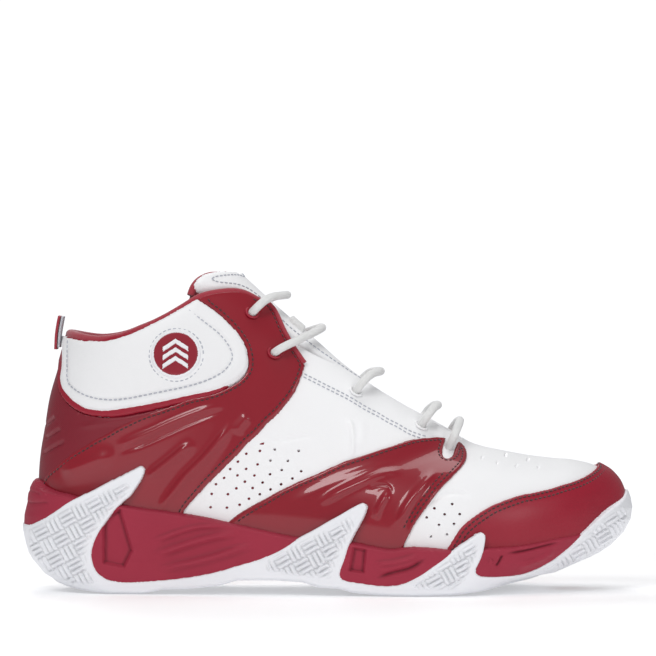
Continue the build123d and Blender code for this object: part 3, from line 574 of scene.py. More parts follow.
class Finish:
    """A node material: a colour that varies, sharp edges painted lighter, painted shade darkening the hollows, and a
    relief of grain or weave.
    """

    def __init__(self, name, code, roughness=0.5, vary=0.06, patch=60.0, edge=0.0, hollow_shade=0.0, **sockets):
        self.material = bpy.data.materials.new(name)
        self.material.use_nodes = True
        self.nodes, self.links = self.material.node_tree.nodes, self.material.node_tree.links
        self.shader = self.nodes["Principled BSDF"]
        self.place = self.nodes.new("ShaderNodeTexCoord").outputs["Object"]
        base = linear(code)
        mix = self.mix(self.noise(patch, 4.0), [c * (1 - vary) for c in base], [min(c * (1 + vary), 1) for c in base])
        # Sharp convex edges (high pointiness) are painted lighter.
        if edge:
            mix = self.mix(self.pointiness(0.52, 0.62, edge), mix, [min(c * 1.5 + 0.05, 1) for c in base])
        # Hollows (low pointiness) are painted darker, down to about a third of the colour: painted shade.
        if hollow_shade:
            mix = self.mix(self.pointiness(0.497, 0.44, hollow_shade), mix, [c * 0.35 for c in base])
        self.link(mix, self.shader.inputs["Base Color"])
        self.shader.inputs["Roughness"].default_value = roughness
        rough = self.nodes.new("ShaderNodeMapRange")
        rough.inputs["To Min"].default_value = roughness * 0.88
        rough.inputs["To Max"].default_value = min(roughness * 1.12, 1)
        self.link(self.noise(patch * 3, 3.0), rough.inputs["Value"])
        self.link(rough.outputs["Result"], self.shader.inputs["Roughness"])
        for socket, value in sockets.items():
            self.shader.inputs[socket.replace("_", " ")].default_value = value
        self.relief = None

    def link(self, source, target):
        self.links.new(source, target)

    def pointiness(self, start, end, most):
        ramp = self.nodes.new("ShaderNodeMapRange")
        ramp.inputs["From Min"].default_value = start
        ramp.inputs["From Max"].default_value = end
        ramp.inputs["To Max"].default_value = most
        self.link(self.nodes.new("ShaderNodeNewGeometry").outputs["Pointiness"], ramp.inputs["Value"])
        return ramp.outputs["Result"]

    def noise(self, scale, detail, stretch=None):
        node = self.nodes.new("ShaderNodeTexNoise")
        node.inputs["Scale"].default_value = scale
        node.inputs["Detail"].default_value = detail
        self.link(self.stretched(stretch), node.inputs["Vector"])
        return node.outputs["Fac"]

    def stretched(self, stretch):
        if stretch is None:
            return self.place
        node = self.nodes.new("ShaderNodeMapping")
        node.inputs["Rotation"].default_value = stretch[0]
        node.inputs["Scale"].default_value = stretch[1]
        self.link(self.place, node.inputs["Vector"])
        return node.outputs["Vector"]

    def mix(self, factor, first, second):
        node = self.nodes.new("ShaderNodeMix")
        node.data_type = "RGBA"
        self.link(factor, node.inputs["Factor"])
        for socket, value in ((node.inputs["A"], first), (node.inputs["B"], second)):
            if isinstance(value, list):
                socket.default_value = (*value, 1)
            else:
                self.link(value, socket)
        return node.outputs["Result"]

    def bump(self, height, strength, distance):
        node = self.nodes.new("ShaderNodeBump")
        node.inputs["Strength"].default_value = strength
        node.inputs["Distance"].default_value = distance
        self.link(height, node.inputs["Height"])
        if self.relief is not None:
            self.link(self.relief, node.inputs["Normal"])
        self.relief = node.outputs["Normal"]
        self.link(self.relief, self.shader.inputs["Normal"])
        return self

    def grain(self, scale, strength, distance=0.0002, detail=6.0, stretch=None):
        return self.bump(self.noise(scale, detail, stretch), strength, distance)

    def pebbles(self, scale, strength, distance=0.0002):
        node = self.nodes.new("ShaderNodeTexVoronoi")
        node.feature = "SMOOTH_F1"
        node.inputs["Scale"].default_value = scale
        self.link(self.place, node.inputs["Vector"])
        return self.bump(node.outputs["Distance"], strength, distance)

    def weave(self, scale, strength, distance=0.0003, turn=0.785):
        heights = []
        for angle in (turn, turn + math.pi / 2):
            node = self.nodes.new("ShaderNodeTexWave")
            node.inputs["Scale"].default_value = scale
            node.inputs["Distortion"].default_value = 0.6
            node.inputs["Detail Scale"].default_value = 2.0
            self.link(self.stretched(((0.3, angle, 0.2), (1, 1, 1))), node.inputs["Vector"])
            heights.append(node.outputs["Fac"])
        join = self.nodes.new("ShaderNodeMath")
        join.operation = "MULTIPLY"
        self.link(heights[0], join.inputs[0])
        self.link(heights[1], join.inputs[1])
        return self.bump(join.outputs[0], strength, distance)


def make_finishes():
    soft = dict(Sheen_Weight=0.35, Sheen_Roughness=0.5)
    gloss = dict(Coat_Weight=0.7, Coat_Roughness=0.035, Coat_IOR=1.5)
    return dict(
        # The last plain number of the rubber and of the foam is the strength of the painted shade in their hollows.
        rubber=Finish("white_rubber", "ECEDF1", 0.42, 0.02, 40, 0.1, 0.55).grain(900, 0.12),
        foam=Finish("red_midsole", "9C2A3F", 0.62, 0.07, 45, 0.25, 0.9, Specular_IOR_Level=0.3)
        .grain(2200, 0.25, 0.0003).pebbles(1500, 0.12),
        leather=Finish("white_leather", "F3F3F4", 0.48, 0.02, 30, 0.1, Specular_IOR_Level=0.45)
        .pebbles(900, 0.22, 0.0003).grain(300, 0.10, 0.0004),
        collar=Finish("collar_leather", "ECECED", 0.5, 0.02, 30, 0.08, **soft)
        .pebbles(800, 0.25, 0.0003).grain(160, 0.16, 0.0008),
        red=Finish("red_leather", "96142B", 0.42, 0.08, 40, 0.15, Specular_IOR_Level=0.35,
                   Coat_Weight=0.12, Coat_Roughness=0.3)
        .pebbles(900, 0.22, 0.0003).grain(260, 0.10, 0.0004),
        patent=Finish("patent_leather", "8A051D", 0.38, 0.08, 25, 0.1, Specular_IOR_Level=0.3, **gloss).grain(70, 0.05, 0.0012, 3.0),
        moulded=Finish("moulded_heel", "7C1024", 0.45, 0.08, 50, 0.25, Specular_IOR_Level=0.35,
                       Coat_Weight=0.2, Coat_Roughness=0.25)
        .weave(420, 0.22, 0.0003),
        binding=Finish("red_binding", "A0182F", 0.6, 0.08, 60, 0.15, **soft).weave(900, 0.45),
        lining=Finish("lining_mesh", "7E1626", 0.85, 0.10, 80, 0.1, **soft).weave(700, 0.6),
        base=Finish("backing_leather", "6E1422", 0.6, 0.06, 60, 0.1).grain(900, 0.2),
        cotton=Finish("lace_cotton", "EDEDEC", 0.75, 0.03, 200, 0.0, **soft).weave(1500, 0.5, 0.0003),
        thread=Finish("dark_thread", "3E0610", 0.55, 0.12, 200, 0.0, Sheen_Weight=0.3).grain(5000, 0.4),
        white_thread=Finish("white_thread", "B4B7C0", 0.55, 0.05, 200, 0.0, Sheen_Weight=0.3).grain(5000, 0.4),
        badge=Finish("badge_rubber", "8C1026", 0.38, 0.06, 80, 0.2).grain(1500, 0.12),
        white_badge=Finish("white_badge", "ECECEF", 0.4, 0.03, 80, 0.1).grain(1500, 0.1),
        web=Finish("pull_tab_web", "C9CBD2", 0.7, 0.05, 100, 0.1, **soft).weave(1100, 0.6),
        hard=Finish("clear_plastic", "E8E8E6", 0.2, 0.02, 100, 0.0).grain(800, 0.05),
        board=Finish("fibre_board", "C9B79B", 0.8, 0.08, 200, 0.0).grain(1500, 0.4),
    )


FINISHES = {name: finish.material for name, finish in make_finishes().items()}


# ---------------------------------------------------------------- swept and sewn pieces
def tube_mesh(path, radius, sides=10, flat=1.0, closed=False):
    """Points and triangles of a tube along a path in millimetres; radius may change along it."""
    path = np.asarray(path, float)
    radius = np.broadcast_to(np.asarray(radius, float), len(path))
    if closed:
        along = np.roll(path, -1, 0) - np.roll(path, 1, 0)
    else:
        along = np.gradient(path, axis=0)
    along /= np.linalg.norm(along, axis=1)[:, None] + 1e-12
    frame_side = np.cross(along[0], (0.3, 0.2, 0.93))
    sides_of = []
    for t in along:
        frame_side = frame_side - t * (frame_side @ t)
        frame_side /= np.linalg.norm(frame_side)
        sides_of.append(frame_side)
    side = np.array(sides_of)
    up = np.cross(along, side)
    turn = np.linspace(0, 2 * np.pi, sides, endpoint=False)
    rings = (path[:, None] + radius[:, None, None] * (np.cos(turn)[None, :, None] * side[:, None]
                                                       + flat * np.sin(turn)[None, :, None] * up[:, None]))
    n = len(path)
    i = np.arange(n if closed else n - 1)[:, None]
    j = np.arange(sides)[None, :]
    a, b = i * sides + j, i * sides + (j + 1) % sides
    c, d = (i + 1) % n * sides + (j + 1) % sides, (i + 1) % n * sides + j
    tris = np.concatenate([np.stack([a, b, c], -1).reshape(-1, 3), np.stack([a, c, d], -1).reshape(-1, 3)])
    points = rings.reshape(-1, 3)
    if not closed:
        ends = len(points)
        points = np.concatenate([points, path[[0, -1]]])
        ring = np.arange(sides)
        tris = np.concatenate([tris, np.stack([ring * 0 + ends, (ring + 1) % sides, ring], 1),
                               np.stack([ring * 0 + ends + 1, ring + (n - 1) * sides,
                                         (ring + 1) % sides + (n - 1) * sides], 1)])
    return points, tris


def tube(name, path, radius, material, **shape):
    points, tris = tube_mesh(path, radius, **shape)
    return mesh_object(name, points, tris, material, 60)


def spaced(path, step):
    """Points at even steps along a path."""
    run = np.concatenate([[0], np.cumsum(np.linalg.norm(np.diff(path, axis=0), axis=1))])
    count = max(int(run[-1] / step), 2)
    even = np.linspace(0, run[-1], count + 1)
    return np.stack([np.interp(even, run, path[:, c]) for c in range(path.shape[1])], 1)


def stitches(name, paths, material, body, slot, pitch=2.5, length=1.75, thick=0.4):
    """Short rounded stitches sunk a little at both ends, along paths in space."""
    every_point, every_tri, base = [], [], 0
    profile = np.array([-0.5, -0.42, -0.15, 0.15, 0.42, 0.5])
    drop = np.array([0.35, 0.1, 0.0, 0.0, 0.1, 0.35])
    for path, out in paths:
        both = spaced(np.concatenate([path, out], 1), pitch)
        spots, outs = both[:, :3], both[:, 3:]
        outs /= np.linalg.norm(outs, axis=1)[:, None] + 1e-9
        for here, after, up in zip(spots[:-1], spots[1:], outs[:-1]):
            run = after - here
            size = np.linalg.norm(run)
            if size < 0.5 * pitch:
                continue
            middle = (here + after) / 2
            line = middle + run / size * length * profile[:, None] - up * drop[:, None] * thick
            radius = thick * np.array([0.3, 0.85, 1, 1, 0.85, 0.3])
            points, tris = tube_mesh(line, radius, sides=6)
            every_point.append(points)
            every_tri.append(tris + base)
            base += len(points)
    obj = mesh_object(name, np.concatenate(every_point), np.concatenate(every_tri), material, 80)
    return finish_piece(obj, body, slot)


def on_upper(line, side, depth):
    """Side-view points put on the upper at a depth, with the way out of it."""
    line = np.asarray(line, float)
    u, v, real = Upper.find(line[:, 0], line[:, 1], side)
    u, v = u[real], side * v[real]
    spots = Upper.at(u, v, depth)
    return spots, Upper.at(u, v, depth - 1.0) - spots


def seam_paths(panel, levels, depth):
    """Paths at distances inside a panel's edge, at a depth, with the way out."""
    paths = []
    for level in levels:
        for line in panel.line_at(level):
            spots = panel.surface.at(line[:, 0], line[:, 1], depth)
            paths.append((spots, panel.surface.at(line[:, 0], line[:, 1], depth - 1.0) - spots))
    return paths


# ---------------------------------------------------------------- camera, light and floor
def make_stage():
    scene = bpy.context.scene
    bpy.ops.mesh.primitive_plane_add(size=8, location=(0, -3.7, 0))
    floor = bpy.context.object
    floor.name = "stage_floor"
    paper = Finish("stage_white", "F4F4F5", 0.6, 0.004, 3, Emission_Color=(1, 1, 1, 1), Emission_Strength=0.22)
    floor.data.materials.append(paper.material)
    world = bpy.data.worlds.new("stage_world")
    scene.world = world
    world.use_nodes = True
    background = world.node_tree.nodes["Background"]
    background.inputs["Color"].default_value = (0.97, 0.98, 1, 1)
    strength = world.node_tree.nodes.new("ShaderNodeMapRange")
    strength.inputs["To Min"].default_value = 0.30
    strength.inputs["To Max"].default_value = 1.1
    rays = world.node_tree.nodes.new("ShaderNodeLightPath")
    world.node_tree.links.new(rays.outputs["Is Camera Ray"], strength.inputs["Value"])
    world.node_tree.links.new(strength.outputs["Result"], background.inputs["Strength"])
    scene.view_settings.view_transform = "Standard"
    lights = (("key", (-0.45, -1.15, 1.05), 0.55, 8.0), ("front", (0.95, -1.2, 0.55), 0.35, 3.2),
              ("top", (0.1, 0.1, 1.5), 0.9, 7.5), ("back", (-0.3, 1.3, 0.9), 0.8, 6.0))
    for name, place, size, power in lights:
        lamp = bpy.data.lights.new("stage_" + name, "AREA")
        lamp.size, lamp.energy = size, power
        obj = bpy.data.objects.new("stage_" + name, lamp)
        obj.location = place
        obj.rotation_euler = (Vector((0, 0, 0.07)) - obj.location).to_track_quat("-Z", "Y").to_euler()
        scene.collection.objects.link(obj)
    camera = bpy.data.objects.new("photo_camera", bpy.data.cameras.new("photo_camera"))
    aim = Vector((-0.0003, 0, 0.131))
    camera.location = aim + Vector((0, -2.5, 0.045))
    camera.rotation_euler = (aim - camera.location).to_track_quat("-Z", "Y").to_euler()
    camera.data.lens = 36 * 2.5 / 0.328
    camera.data.clip_end = 20
    scene.collection.objects.link(camera)
    scene.camera = camera


make_stage()

# ---------------------------------------------------------------- side-view lines (x, z)
RUBBER_EDGE = [(-165, 33.6), (-152.2, 33.6), (-149, 33.7), (-145, 35.5), (-140, 38.2), (-135, 41.5), (-130, 45),
               (-125, 47.7), (-120, 50), (-115, 52.3), (-110, 55), (-105, 57.5), (-100, 60), (-95, 62.5),
               (-92.4, 63.7), (-90.6, 62.2), (-91.4, 58.6), (-95, 52.5), (-98, 48.5), (-101, 46), (-105, 42),
               (-109, 37), (-112, 32.5), (-114.5, 28), (-116, 24), (-116.7, 20), (-116, 15.5), (-114.5, 12),
               (-112, 9.5), (-109, 7.8), (-105, 6.9), (-100, 6.5), (-84, 7.4), (-68, 9.3), (-54, 12.2), (-45, 15),
               (-35, 18), (-25, 22.3), (-20, 25.3), (-15, 28.8), (-10, 31.5), (-5, 34.3), (0, 37.3), (5, 40),
               (10, 43), (14, 45.2), (17, 45.9), (18.7, 44.2), (17.5, 40), (15, 35), (12, 29.5), (10, 25), (8, 18.5),
               (6, 13), (5.6, 10.6), (6.6, 8.8), (10, 7.7), (15, 7), (20, 6.3), (25, 5.8), (30, 5.8), (35, 6.5),
               (40, 8.4), (45, 11), (50, 14.5), (55, 18), (60, 22), (65, 25.8), (70, 29), (73, 31), (75.6, 31.6),
               (77.2, 29.8), (76.8, 25), (75.5, 20), (74, 16.5), (72.6, 13.6), (72.8, 11.6), (74.5, 10.5),
               (78, 10), (85, 9.8), (90, 10), (95, 10.5), (100, 11.8), (105, 13.8), (110, 16.5), (115, 20),
               (120, 24), (125, 28.8), (130, 33), (135, 37.2), (140, 41), (145, 44), (148, 46.3), (150.2, 49.6),
               (158, 51)]
RED_EDGE = [(-158, 56.6), (-149, 56.4), (-146.5, 55.8), (-145, 53), (-140, 50.8), (-130, 49.2), (-125, 48),
            (-112, 46), (-101.5, 44.4), (-90, 42.7), (-80, 41.5), (-60, 38.2), (-50, 36), (-40, 34), (-30, 31.8),
            (-20, 29.7), (-8, 28), (0, 27.4), (11, 27), (20, 25.2), (30, 23.7), (36.5, 24.4), (45, 24.5),
            (57, 23.5), (64, 22.6), (77, 24), (85, 24.2), (95, 24.8), (105, 26.3), (115, 28.3), (126, 30.2),
            (136, 34), (150, 42)]
TOP_LINE = [(-138, 127.6), (-131, 127), (-125, 125.8), (-120, 125), (-115, 124.7), (-110, 125.2), (-105, 126.2),
            (-100, 127.8), (-95, 130), (-90, 132), (-80, 137), (-70, 143), (-65, 146.2), (-60, 148.2),
            (-52, 149.6), (-45, 149.9), (-40, 148.7), (-35, 146), (-30, 143.6)]
QUARTER_BACK = [(-34, 8), (-34, 12)]
COLLAR_EDGE = [(-132, 127), (-132, 112), (-132.8, 105), (-131.5, 100.5), (-128, 96.5), (-125, 94), (-120, 91.2),
               (-115, 90.3), (-110, 90), (-100, 91.3), (-90, 93), (-80, 95), (-70, 97.3), (-60, 99.3), (-55, 100.6),
               (-50, 102.9), (-45, 105.7), (-42, 108.4), (-40, 111.7), (-39.5, 115), (-40.5, 121), (-42, 124.5),
               (-45, 129), (-50, 134.5), (-55, 139), (-60, 142.7), (-65, 145.9)]
BAND_EDGE = [(-136, 128), (-134.3, 122), (-134.8, 105), (-133.6, 100), (-130.4, 95), (-125.6, 91.2), (-120, 88.9),
             (-110, 87.7), (-100, 88.7), (-90, 90.7), (-80, 93), (-70, 95.4), (-60, 98), (-53, 100.4), (-49, 103.6)]
WING_TOP = [(-147, 49), (-143.5, 53), (-140, 59), (-136, 62.5), (-130, 67.5), (-125, 71), (-120, 74), (-115, 77),
            (-110, 79.5), (-105, 82.5), (-100, 85), (-95, 87.5), (-90, 89.5), (-85, 91), (-80, 92.8), (-75, 94.5),
            (-70, 96.5), (-60, 98.8), (-55, 100.2), (-50, 102.5), (-45, 105.3), (-42, 108), (-40, 111.5),
            (-39.5, 115), (-40.5, 121), (-42, 124.5), (-45, 129), (-50, 134.5), (-55, 139), (-60, 142.7),
            (-65, 145.3)]
WING_RIM = [(-65, 146.5), (-60, 148.4), (-52, 149.8), (-45, 150.1), (-40, 148.9), (-35, 146.2), (-30, 144)]
WING_EYESTAY = [(-30, 144.4), (-27, 140.3), (-25, 136.5), (-22, 130), (-18, 123), (-15, 118.5), (-11.3, 113.3)]
WING_FRONT = [(-11.3, 113.3), (-12.5, 110), (-14, 106), (-16, 101.5), (-19, 97), (-22, 93.5), (-25, 90), (-30, 85.5),
              (-35, 80), (-40, 75.5), (-45, 70), (-50, 65), (-55, 60), (-60, 54.8), (-65, 49), (-70, 43), (-74, 36)]
FRONT_TOP = [(-52, 33), (-45, 39), (-40, 42.3), (-35, 45.3), (-30, 48), (-25, 51), (-20, 53.5), (-15, 56),
             (-10, 58.2), (-5, 60.3), (0, 62.7), (5, 65), (10, 67), (15, 68.5), (20, 70.2), (25, 72), (30, 73.5),
             (35, 75), (40, 76.5), (45, 77.3), (50, 77.6), (55, 77.7), (58.5, 77.2)]
FRONT_NOTCH = [(58.5, 77.2), (57.2, 73.5), (56.4, 70), (57.3, 68), (59.5, 67.6), (61.5, 68.8), (63, 71.8),
               (64.8, 75.2)]
FRONT_TOE = [(64.8, 75.2), (66.8, 73.8), (68.2, 71.5), (68.5, 69), (67.8, 66.5), (66, 64), (63, 61), (60, 58),
             (55, 53), (50, 46.5), (45, 39.5), (42, 35), (39.5, 30), (37, 24.8), (35.5, 16)]
CAP_EDGE = [(56, 14), (58, 22), (60, 25.5), (63, 30.5), (65, 33.5), (68, 36.3), (70, 38), (75, 41.5), (80, 44.5),
            (85, 46.5), (90, 48.2), (95, 49.7), (100, 50.5), (105, 51.5), (110, 52.5), (115, 54), (120, 55.2),
            (125, 56.8), (130, 59), (134, 61.5), (136, 63.5), (137, 68)]
HEEL_FRONT = [(-60, 97), (-85, 88.6), (-100, 82.4), (-120, 71), (-136, 59), (-143.5, 48), (-165, 44)]
REAR_HOLES = [(-58.2, 42.7), (-50, 42.6), (-43.7, 44.2), (-58, 49.7), (-49.8, 49.5), (-39.1, 47.3), (-56, 54.7),
              (-45.7, 52.6), (-37.5, 52.8), (-33.7, 49.6), (-28.4, 52.1), (-52, 58.1), (-41.5, 56.1), (-32.6, 55.7),
              (-23.2, 54.8), (-45.3, 59.4), (-36.8, 59.3), (-29, 60), (-17.7, 57.8), (-49, 62.7), (-41, 62.8),
              (-23.2, 62.2), (-13.4, 61.6), (-45.1, 66.4), (-35.3, 65.1), (-28.9, 67.1), (-20.2, 67), (-40.9, 70.3),
              (-34.1, 71.8), (-26.7, 72.6), (-14.8, 72)]
FRONT_HOLES = [(60.8, 45.6), (52, 43.4), (57, 40.3), (64.5, 40.4), (48.2, 38.7), (54.2, 34.9), (61.6, 35.4),
               (50.1, 28.8), (58.2, 30)]
SIDES = ((LATERAL, "lateral"), (MEDIAL, "medial"))
HOLE = 0.75


# ---------------------------------------------------------------- sole
def pit(corners, depth, soft=1.2):
    """A sunk area with soft edges, given by its side-view corners."""
    path = outline_of(*[[corner] for corner in corners])

    def relief(points):
        flat = points[:, [0, 2]]
        gap, _ = polyline_distance(flat, np.concatenate([path, path[:1]]))
        signed = np.where(inside_outline(flat[:, 0], flat[:, 1], path), gap, -gap)
        return -depth * np.clip(signed / soft + 0.5, 0, 1)
    return relief


def basket_ribs(*zones):
    """Short ribs in threes that lie this way and that, inside side-view areas."""
    areas = [np.array(zone, float) for zone in zones]
    cell, rib_pitch, height, lean = 7.6, 2.53, 1.15, 0.5

    def relief(points):
        x, z = points[:, 0], points[:, 2]
        shown = np.zeros(len(points))
        for area in areas:
            gap, _ = polyline_distance(points[:, [0, 2]], np.concatenate([area, area[:1]]))
            signed = np.where(inside_outline(x, z, area), gap, -gap)
            shown = np.maximum(shown, np.clip(signed / 1.5, 0, 1))
        a = (x * math.cos(lean) + z * math.sin(lean)) / cell
        b = (-x * math.sin(lean) + z * math.cos(lean)) / cell
        i, j = np.floor(a), np.floor(b)
        across = np.where((i + j) % 2 < 1, a - i, b - j)
        along = np.where((i + j) % 2 < 1, b - j, a - i)
        rib = np.clip(np.sin(across * cell / rib_pitch * 2 * np.pi - 0.5 * np.pi) + 0.45, 0, 0.9) / 0.9
        ends = np.clip(np.minimum(along, 1 - along) * cell / 0.9, 0, 1)
        return height * rib * ends * shown
    return relief


def above_ground(points):
    return points[:, 2] - np.interp(points[:, 0], *np.array(UNDERSIDE, float).T) - 0.7


def behind_rubber(points):
    return above_ground(points) - 2.4


SOLE_STEP = 0.62
RIB_ZONES = (
    [(-149, 31), (-143, 33.5), (-130, 42), (-112, 50), (-101, 55.5), (-97, 55), (-101, 49.5), (-113, 36),
     (-120, 24), (-120, 14), (-114, 6), (-126, 4), (-142, 11), (-149, 22)],
    [(-30, 12), (-30, 17), (-18, 24), (0, 33), (12, 40), (12, 35), (5, 22), (0, 9), (-14, 10)],
    [(40, 4), (40, 6.2), (54, 14.5), (68, 25), (73, 27.5), (72, 21), (67, 9), (60, 3.6)],
    [(98, 8.5), (106, 11.5), (116, 18), (126, 26.5), (137, 36), (147, 42.5), (150, 40), (147, 29), (138, 21),
     (122, 13)],
)


def make_sole():
    outline = outline_of(RUBBER_EDGE, [(158, -8)], [(-165, -8)])
    wall = Panel(Sole, outline, (-1, 1), SOLE_STEP, (0.5, 65.5), (-0.9999, 0.9999), trims=(above_ground,))
    wall.cut((0.15, 0.4, 1.0))
    reliefs = [basket_ribs(*RIB_ZONES), ridge([(-109, 12), (-90, 10.8), (-70, 12.5), (-50, 16.4)], 0.5, -0.25),
               ridge([(-8, 4), (-4, 14), (4, 28), (13, 41)], 0.7, 0.5),
               ridge([(60, 4), (66, 14), (72, 26)], 0.7, 0.45)]
    rubber = wall.build("outsole_wall", FINISHES["rubber"], 3.2, 0.0, 1.0, reliefs=reliefs)
    finish_piece(rubber, BODY, "outsole_rubber", "outsole")
    outline = outline_of(RED_EDGE, [(158, 42)], [(158, 2)], [(-165, 2)])
    red = Panel(Sole, outline, (-1, 1), SOLE_STEP, (3.0, 57.4), (-0.9999, 0.9999), trims=(behind_rubber,))
    red.cut((0.2, 0.6, 1.2, 2.0))
    reliefs = [ridge([(-88, 19), (-60, 28), (-42, 31)], 1.7, 1.9), ridge([(-86, 12), (-60, 18), (-34, 26)], 1.7, 1.9),
               ridge([(-88, 26), (-66, 33.4), (-48, 34.6)], 1.1, 1.1),
               pit([(-111, 38), (-103, 42), (-97, 22), (-101, 14), (-111, 16)], 2.4, 1.8),
               pit([(10, 13), (12, 24), (18, 23), (17, 12)], 2.0, 1.5),
               ridge([(22, 9), (31, 12), (40, 14.5), (50, 20.5)], 1.1, -1.6),
               ridge([(22, 16), (34, 17.5), (47, 21.5)], 1.2, 1.3),
               ridge([(86.5, 21.2), (95, 22), (105, 24), (113, 25.8), (118, 27)], 0.8, -1.3),
               ridge([(86, 21), (84, 17), (81, 13.5)], 0.8, -1.3), ridge([(79, 19), (81.5, 15)], 0.6, 0.7),
               ridge([(92, 13.5), (104, 17.5), (114, 23)], 1.6, 1.2),
               ridge([(-153, 44), (-146, 44.5), (-136, 45.5)], 0.9, -0.5),
               ridge([(-153, 50), (-147, 49.6), (-141, 48.4)], 0.9, -0.5)]
    red = red.build("midsole_wall", FINISHES["foam"], 6.2, 0.7, 2.0, reliefs=reliefs)
    finish_piece(red, BODY, "midsole_foam", "midsole")
    make_tread()


def make_tread():
    """Underside with a herringbone tread, between the wall's lower edges."""
    sides = []
    for side in (LATERAL, MEDIAL):
        v = side * np.linspace(0, 0.9999, 900)
        height = np.full(900, 6.0)
        for _ in range(12):
            ring = Sole.at(height, v, 2.2)
            height = np.interp(ring[:, 0], *np.array(UNDERSIDE, float).T) + 1.6
        sides.append(ring)
    start = max(ring[:, 0].min() for ring in sides) + 0.2
    end = min(ring[:, 0].max() for ring in sides) - 0.2
    turn = np.linspace(0, np.pi, 300)
    x = (start + end) / 2 - (end - start) / 2 * np.cos(turn)
    x = np.sort(np.concatenate([x, np.linspace(start, end, 300)]))
    low, high = (np.interp(x, np.maximum.accumulate(ring[:, 0]), ring[:, 1]) for ring in sides)
    across = np.linspace(0, 1, 130)
    y = low[:, None] + (high - low)[:, None] * across
    xx = np.repeat(x[:, None], len(across), 1)
    edge = np.minimum(y - low[:, None], high[:, None] - y)
    edge = np.minimum(edge, np.minimum(xx - start, end - xx) * 0.7)
    zig = np.abs((y / 11) % 1 - 0.5) * 12
    wave = np.abs(((xx + zig) / 7.2) % 1 - 0.5) * 2
    flat = (xx > -88) & (xx < 8)
    tread = np.where(flat, 0.25 * np.clip((wave - 0.72) * 8, 0, 1), 1.1 * np.clip((wave - 0.62) * 6, 0, 1))
    tread = tread * np.clip((edge - 4) / 1.0, 0, 1)
    channel = np.clip(1.4 - np.abs(edge - 4.2), 0, 1)
    ground = np.interp(xx, *np.array(UNDERSIDE, float).T)
    rise = 1.5 * (1 - round_rim(edge, 2.4))
    z = ground + tread + channel + rise
    front = np.stack([xx, y, z], -1).reshape(-1, 3)
    back = front.copy()
    back[:, 2] = (ground + 3.5).ravel()
    index = np.arange(xx.size).reshape(xx.shape)
    a, b, c, d = index[:-1, :-1], index[1:, :-1], index[1:, 1:], index[:-1, 1:]
    quads = np.stack([a, b, c, d], -1).reshape(-1, 4)
    shell = Panel.__new__(Panel)
    shell.tris = np.concatenate([quads[:, [0, 1, 2]], quads[:, [0, 2, 3]]])
    tread = shell.close("outsole_tread", front, back, FINISHES["rubber"], 35)
    finish_piece(tread, BODY, "outsole_rubber")


make_sole()


# ---------------------------------------------------------------- upper
def side_panel(name, node, slot, finish, outline, rest, top, rim=1.0, step=0.9, cuts=(0.15, 0.5, 1.0), **more):
    """The same piece on both sides of the shoe. Extra words go to the panel and to its shell."""
    panels = {}
    build_words = {key: more.pop(key) for key in ("under", "reliefs", "sharp", "extra") if key in more}
    hole = HOLE if more.get("holes") else None
    for side, word in SIDES:
        panel = Panel(Upper, outline, (side,), step, **more)
        panel.cut([rim * c for c in cuts], hole)
        obj = panel.build(f"{name}_{word}", FINISHES[finish], rest, top, rim, **build_words)
        finish_piece(obj, BODY, slot, *([f"{node}_{word}"] if node else []))
        panels[side] = panel
    return panels


def both_sides(lines, depth):
    return [on_upper(curve(line, 1.0), side, depth) for line in lines for side in (LATERAL, MEDIAL)]


def make_base():
    outline = outline_of([(-165, 8)], [(-165, 128)], TOP_LINE, [(-22, 165)], [(110, 165)], [(58, 92)], [(50, 55)],
                         [(36, 25)], [(34, 8)])
    seam = [(9, 89), (11.5, 84), (12.2, 78), (12, 72), (11, 66)]
    recess = [(-41, 74.2), (-28, 76.4), (-17, 78.5), (-9, 78.8), (-6, 74)]
    panels = side_panel(
        "quarter", "quarter", "white_leather", "leather", outline, 3.2, 1.4, 0.8, 0.75, holes=REAR_HOLES,
        v_range=None, trims=(clear_of_throat,),
        reliefs=[ridge(seam, 1.3, 1.0), ridge(recess, 1.3, -0.6), ridge([(16, 89), (17, 80), (14, 70)], 2.4, 0.5)])
    paths = []
    stay = [(-12, 110), (-5, 106.5), (0, 104), (5, 101.5), (10, 99), (15, 96), (20, 93), (25, 90.5), (30, 87.5),
            (35, 85), (40, 82), (45, 80), (50, 78.5)]
    paths += both_sides([stay, [(x - 0.4, z - 1.5) for x, z in stay]], 1.3)
    stitches("quarter_stitches", paths, FINISHES["white_thread"], BODY, "white_leather", thick=0.34)

    outline = outline_of([(53, 100)], [(46, 55)], [(33, 25)], [(33, 3)], [(165, 3)], [(165, 100)])
    vamp = Panel(Upper, outline, (-1, 1), 0.85, (4.8, LAST - 0.01), (0.03, 1.97), holes=FRONT_HOLES,
                 trims=(clear_of_throat,))
    vamp.cut((0.15, 0.4, 0.8), HOLE)
    rise = [(48, 42), (53, 48), (58, 50.5), (64, 51.2), (68, 50), (71.5, 46)]
    slits = [ridge([(x - 1.2, z + 0.9), (x + 1.2, z - 0.9)], 0.7, -0.8, 0.4)
             for x, z in ((84.5, 65.5), (94, 63.7), (100, 66.6), (89, 69), (105, 63.0), (77, 68))]
    obj = vamp.build("vamp_shell", FINISHES["leather"], 3.2, 1.4, 0.8, reliefs=[ridge(rise, 1.3, -1.0)] + slits)
    finish_piece(obj, BODY, "white_leather", "vamp")
    return panels


def make_backing():
    """Dark cloth behind the perforations, so that they don't show the layers inside."""
    outline = outline_of([(-150, 20)], [(-150, 110)], [(-40, 118)], [(0, 92)], [(50, 70)], [(100, 56)], [(140, 40)],
                         [(140, 20)])
    side_panel("backing", None, "lining_mesh", "base", outline, 3.9, 3.4, 0.5, 3.0, u_range=(2.5, 16.5))


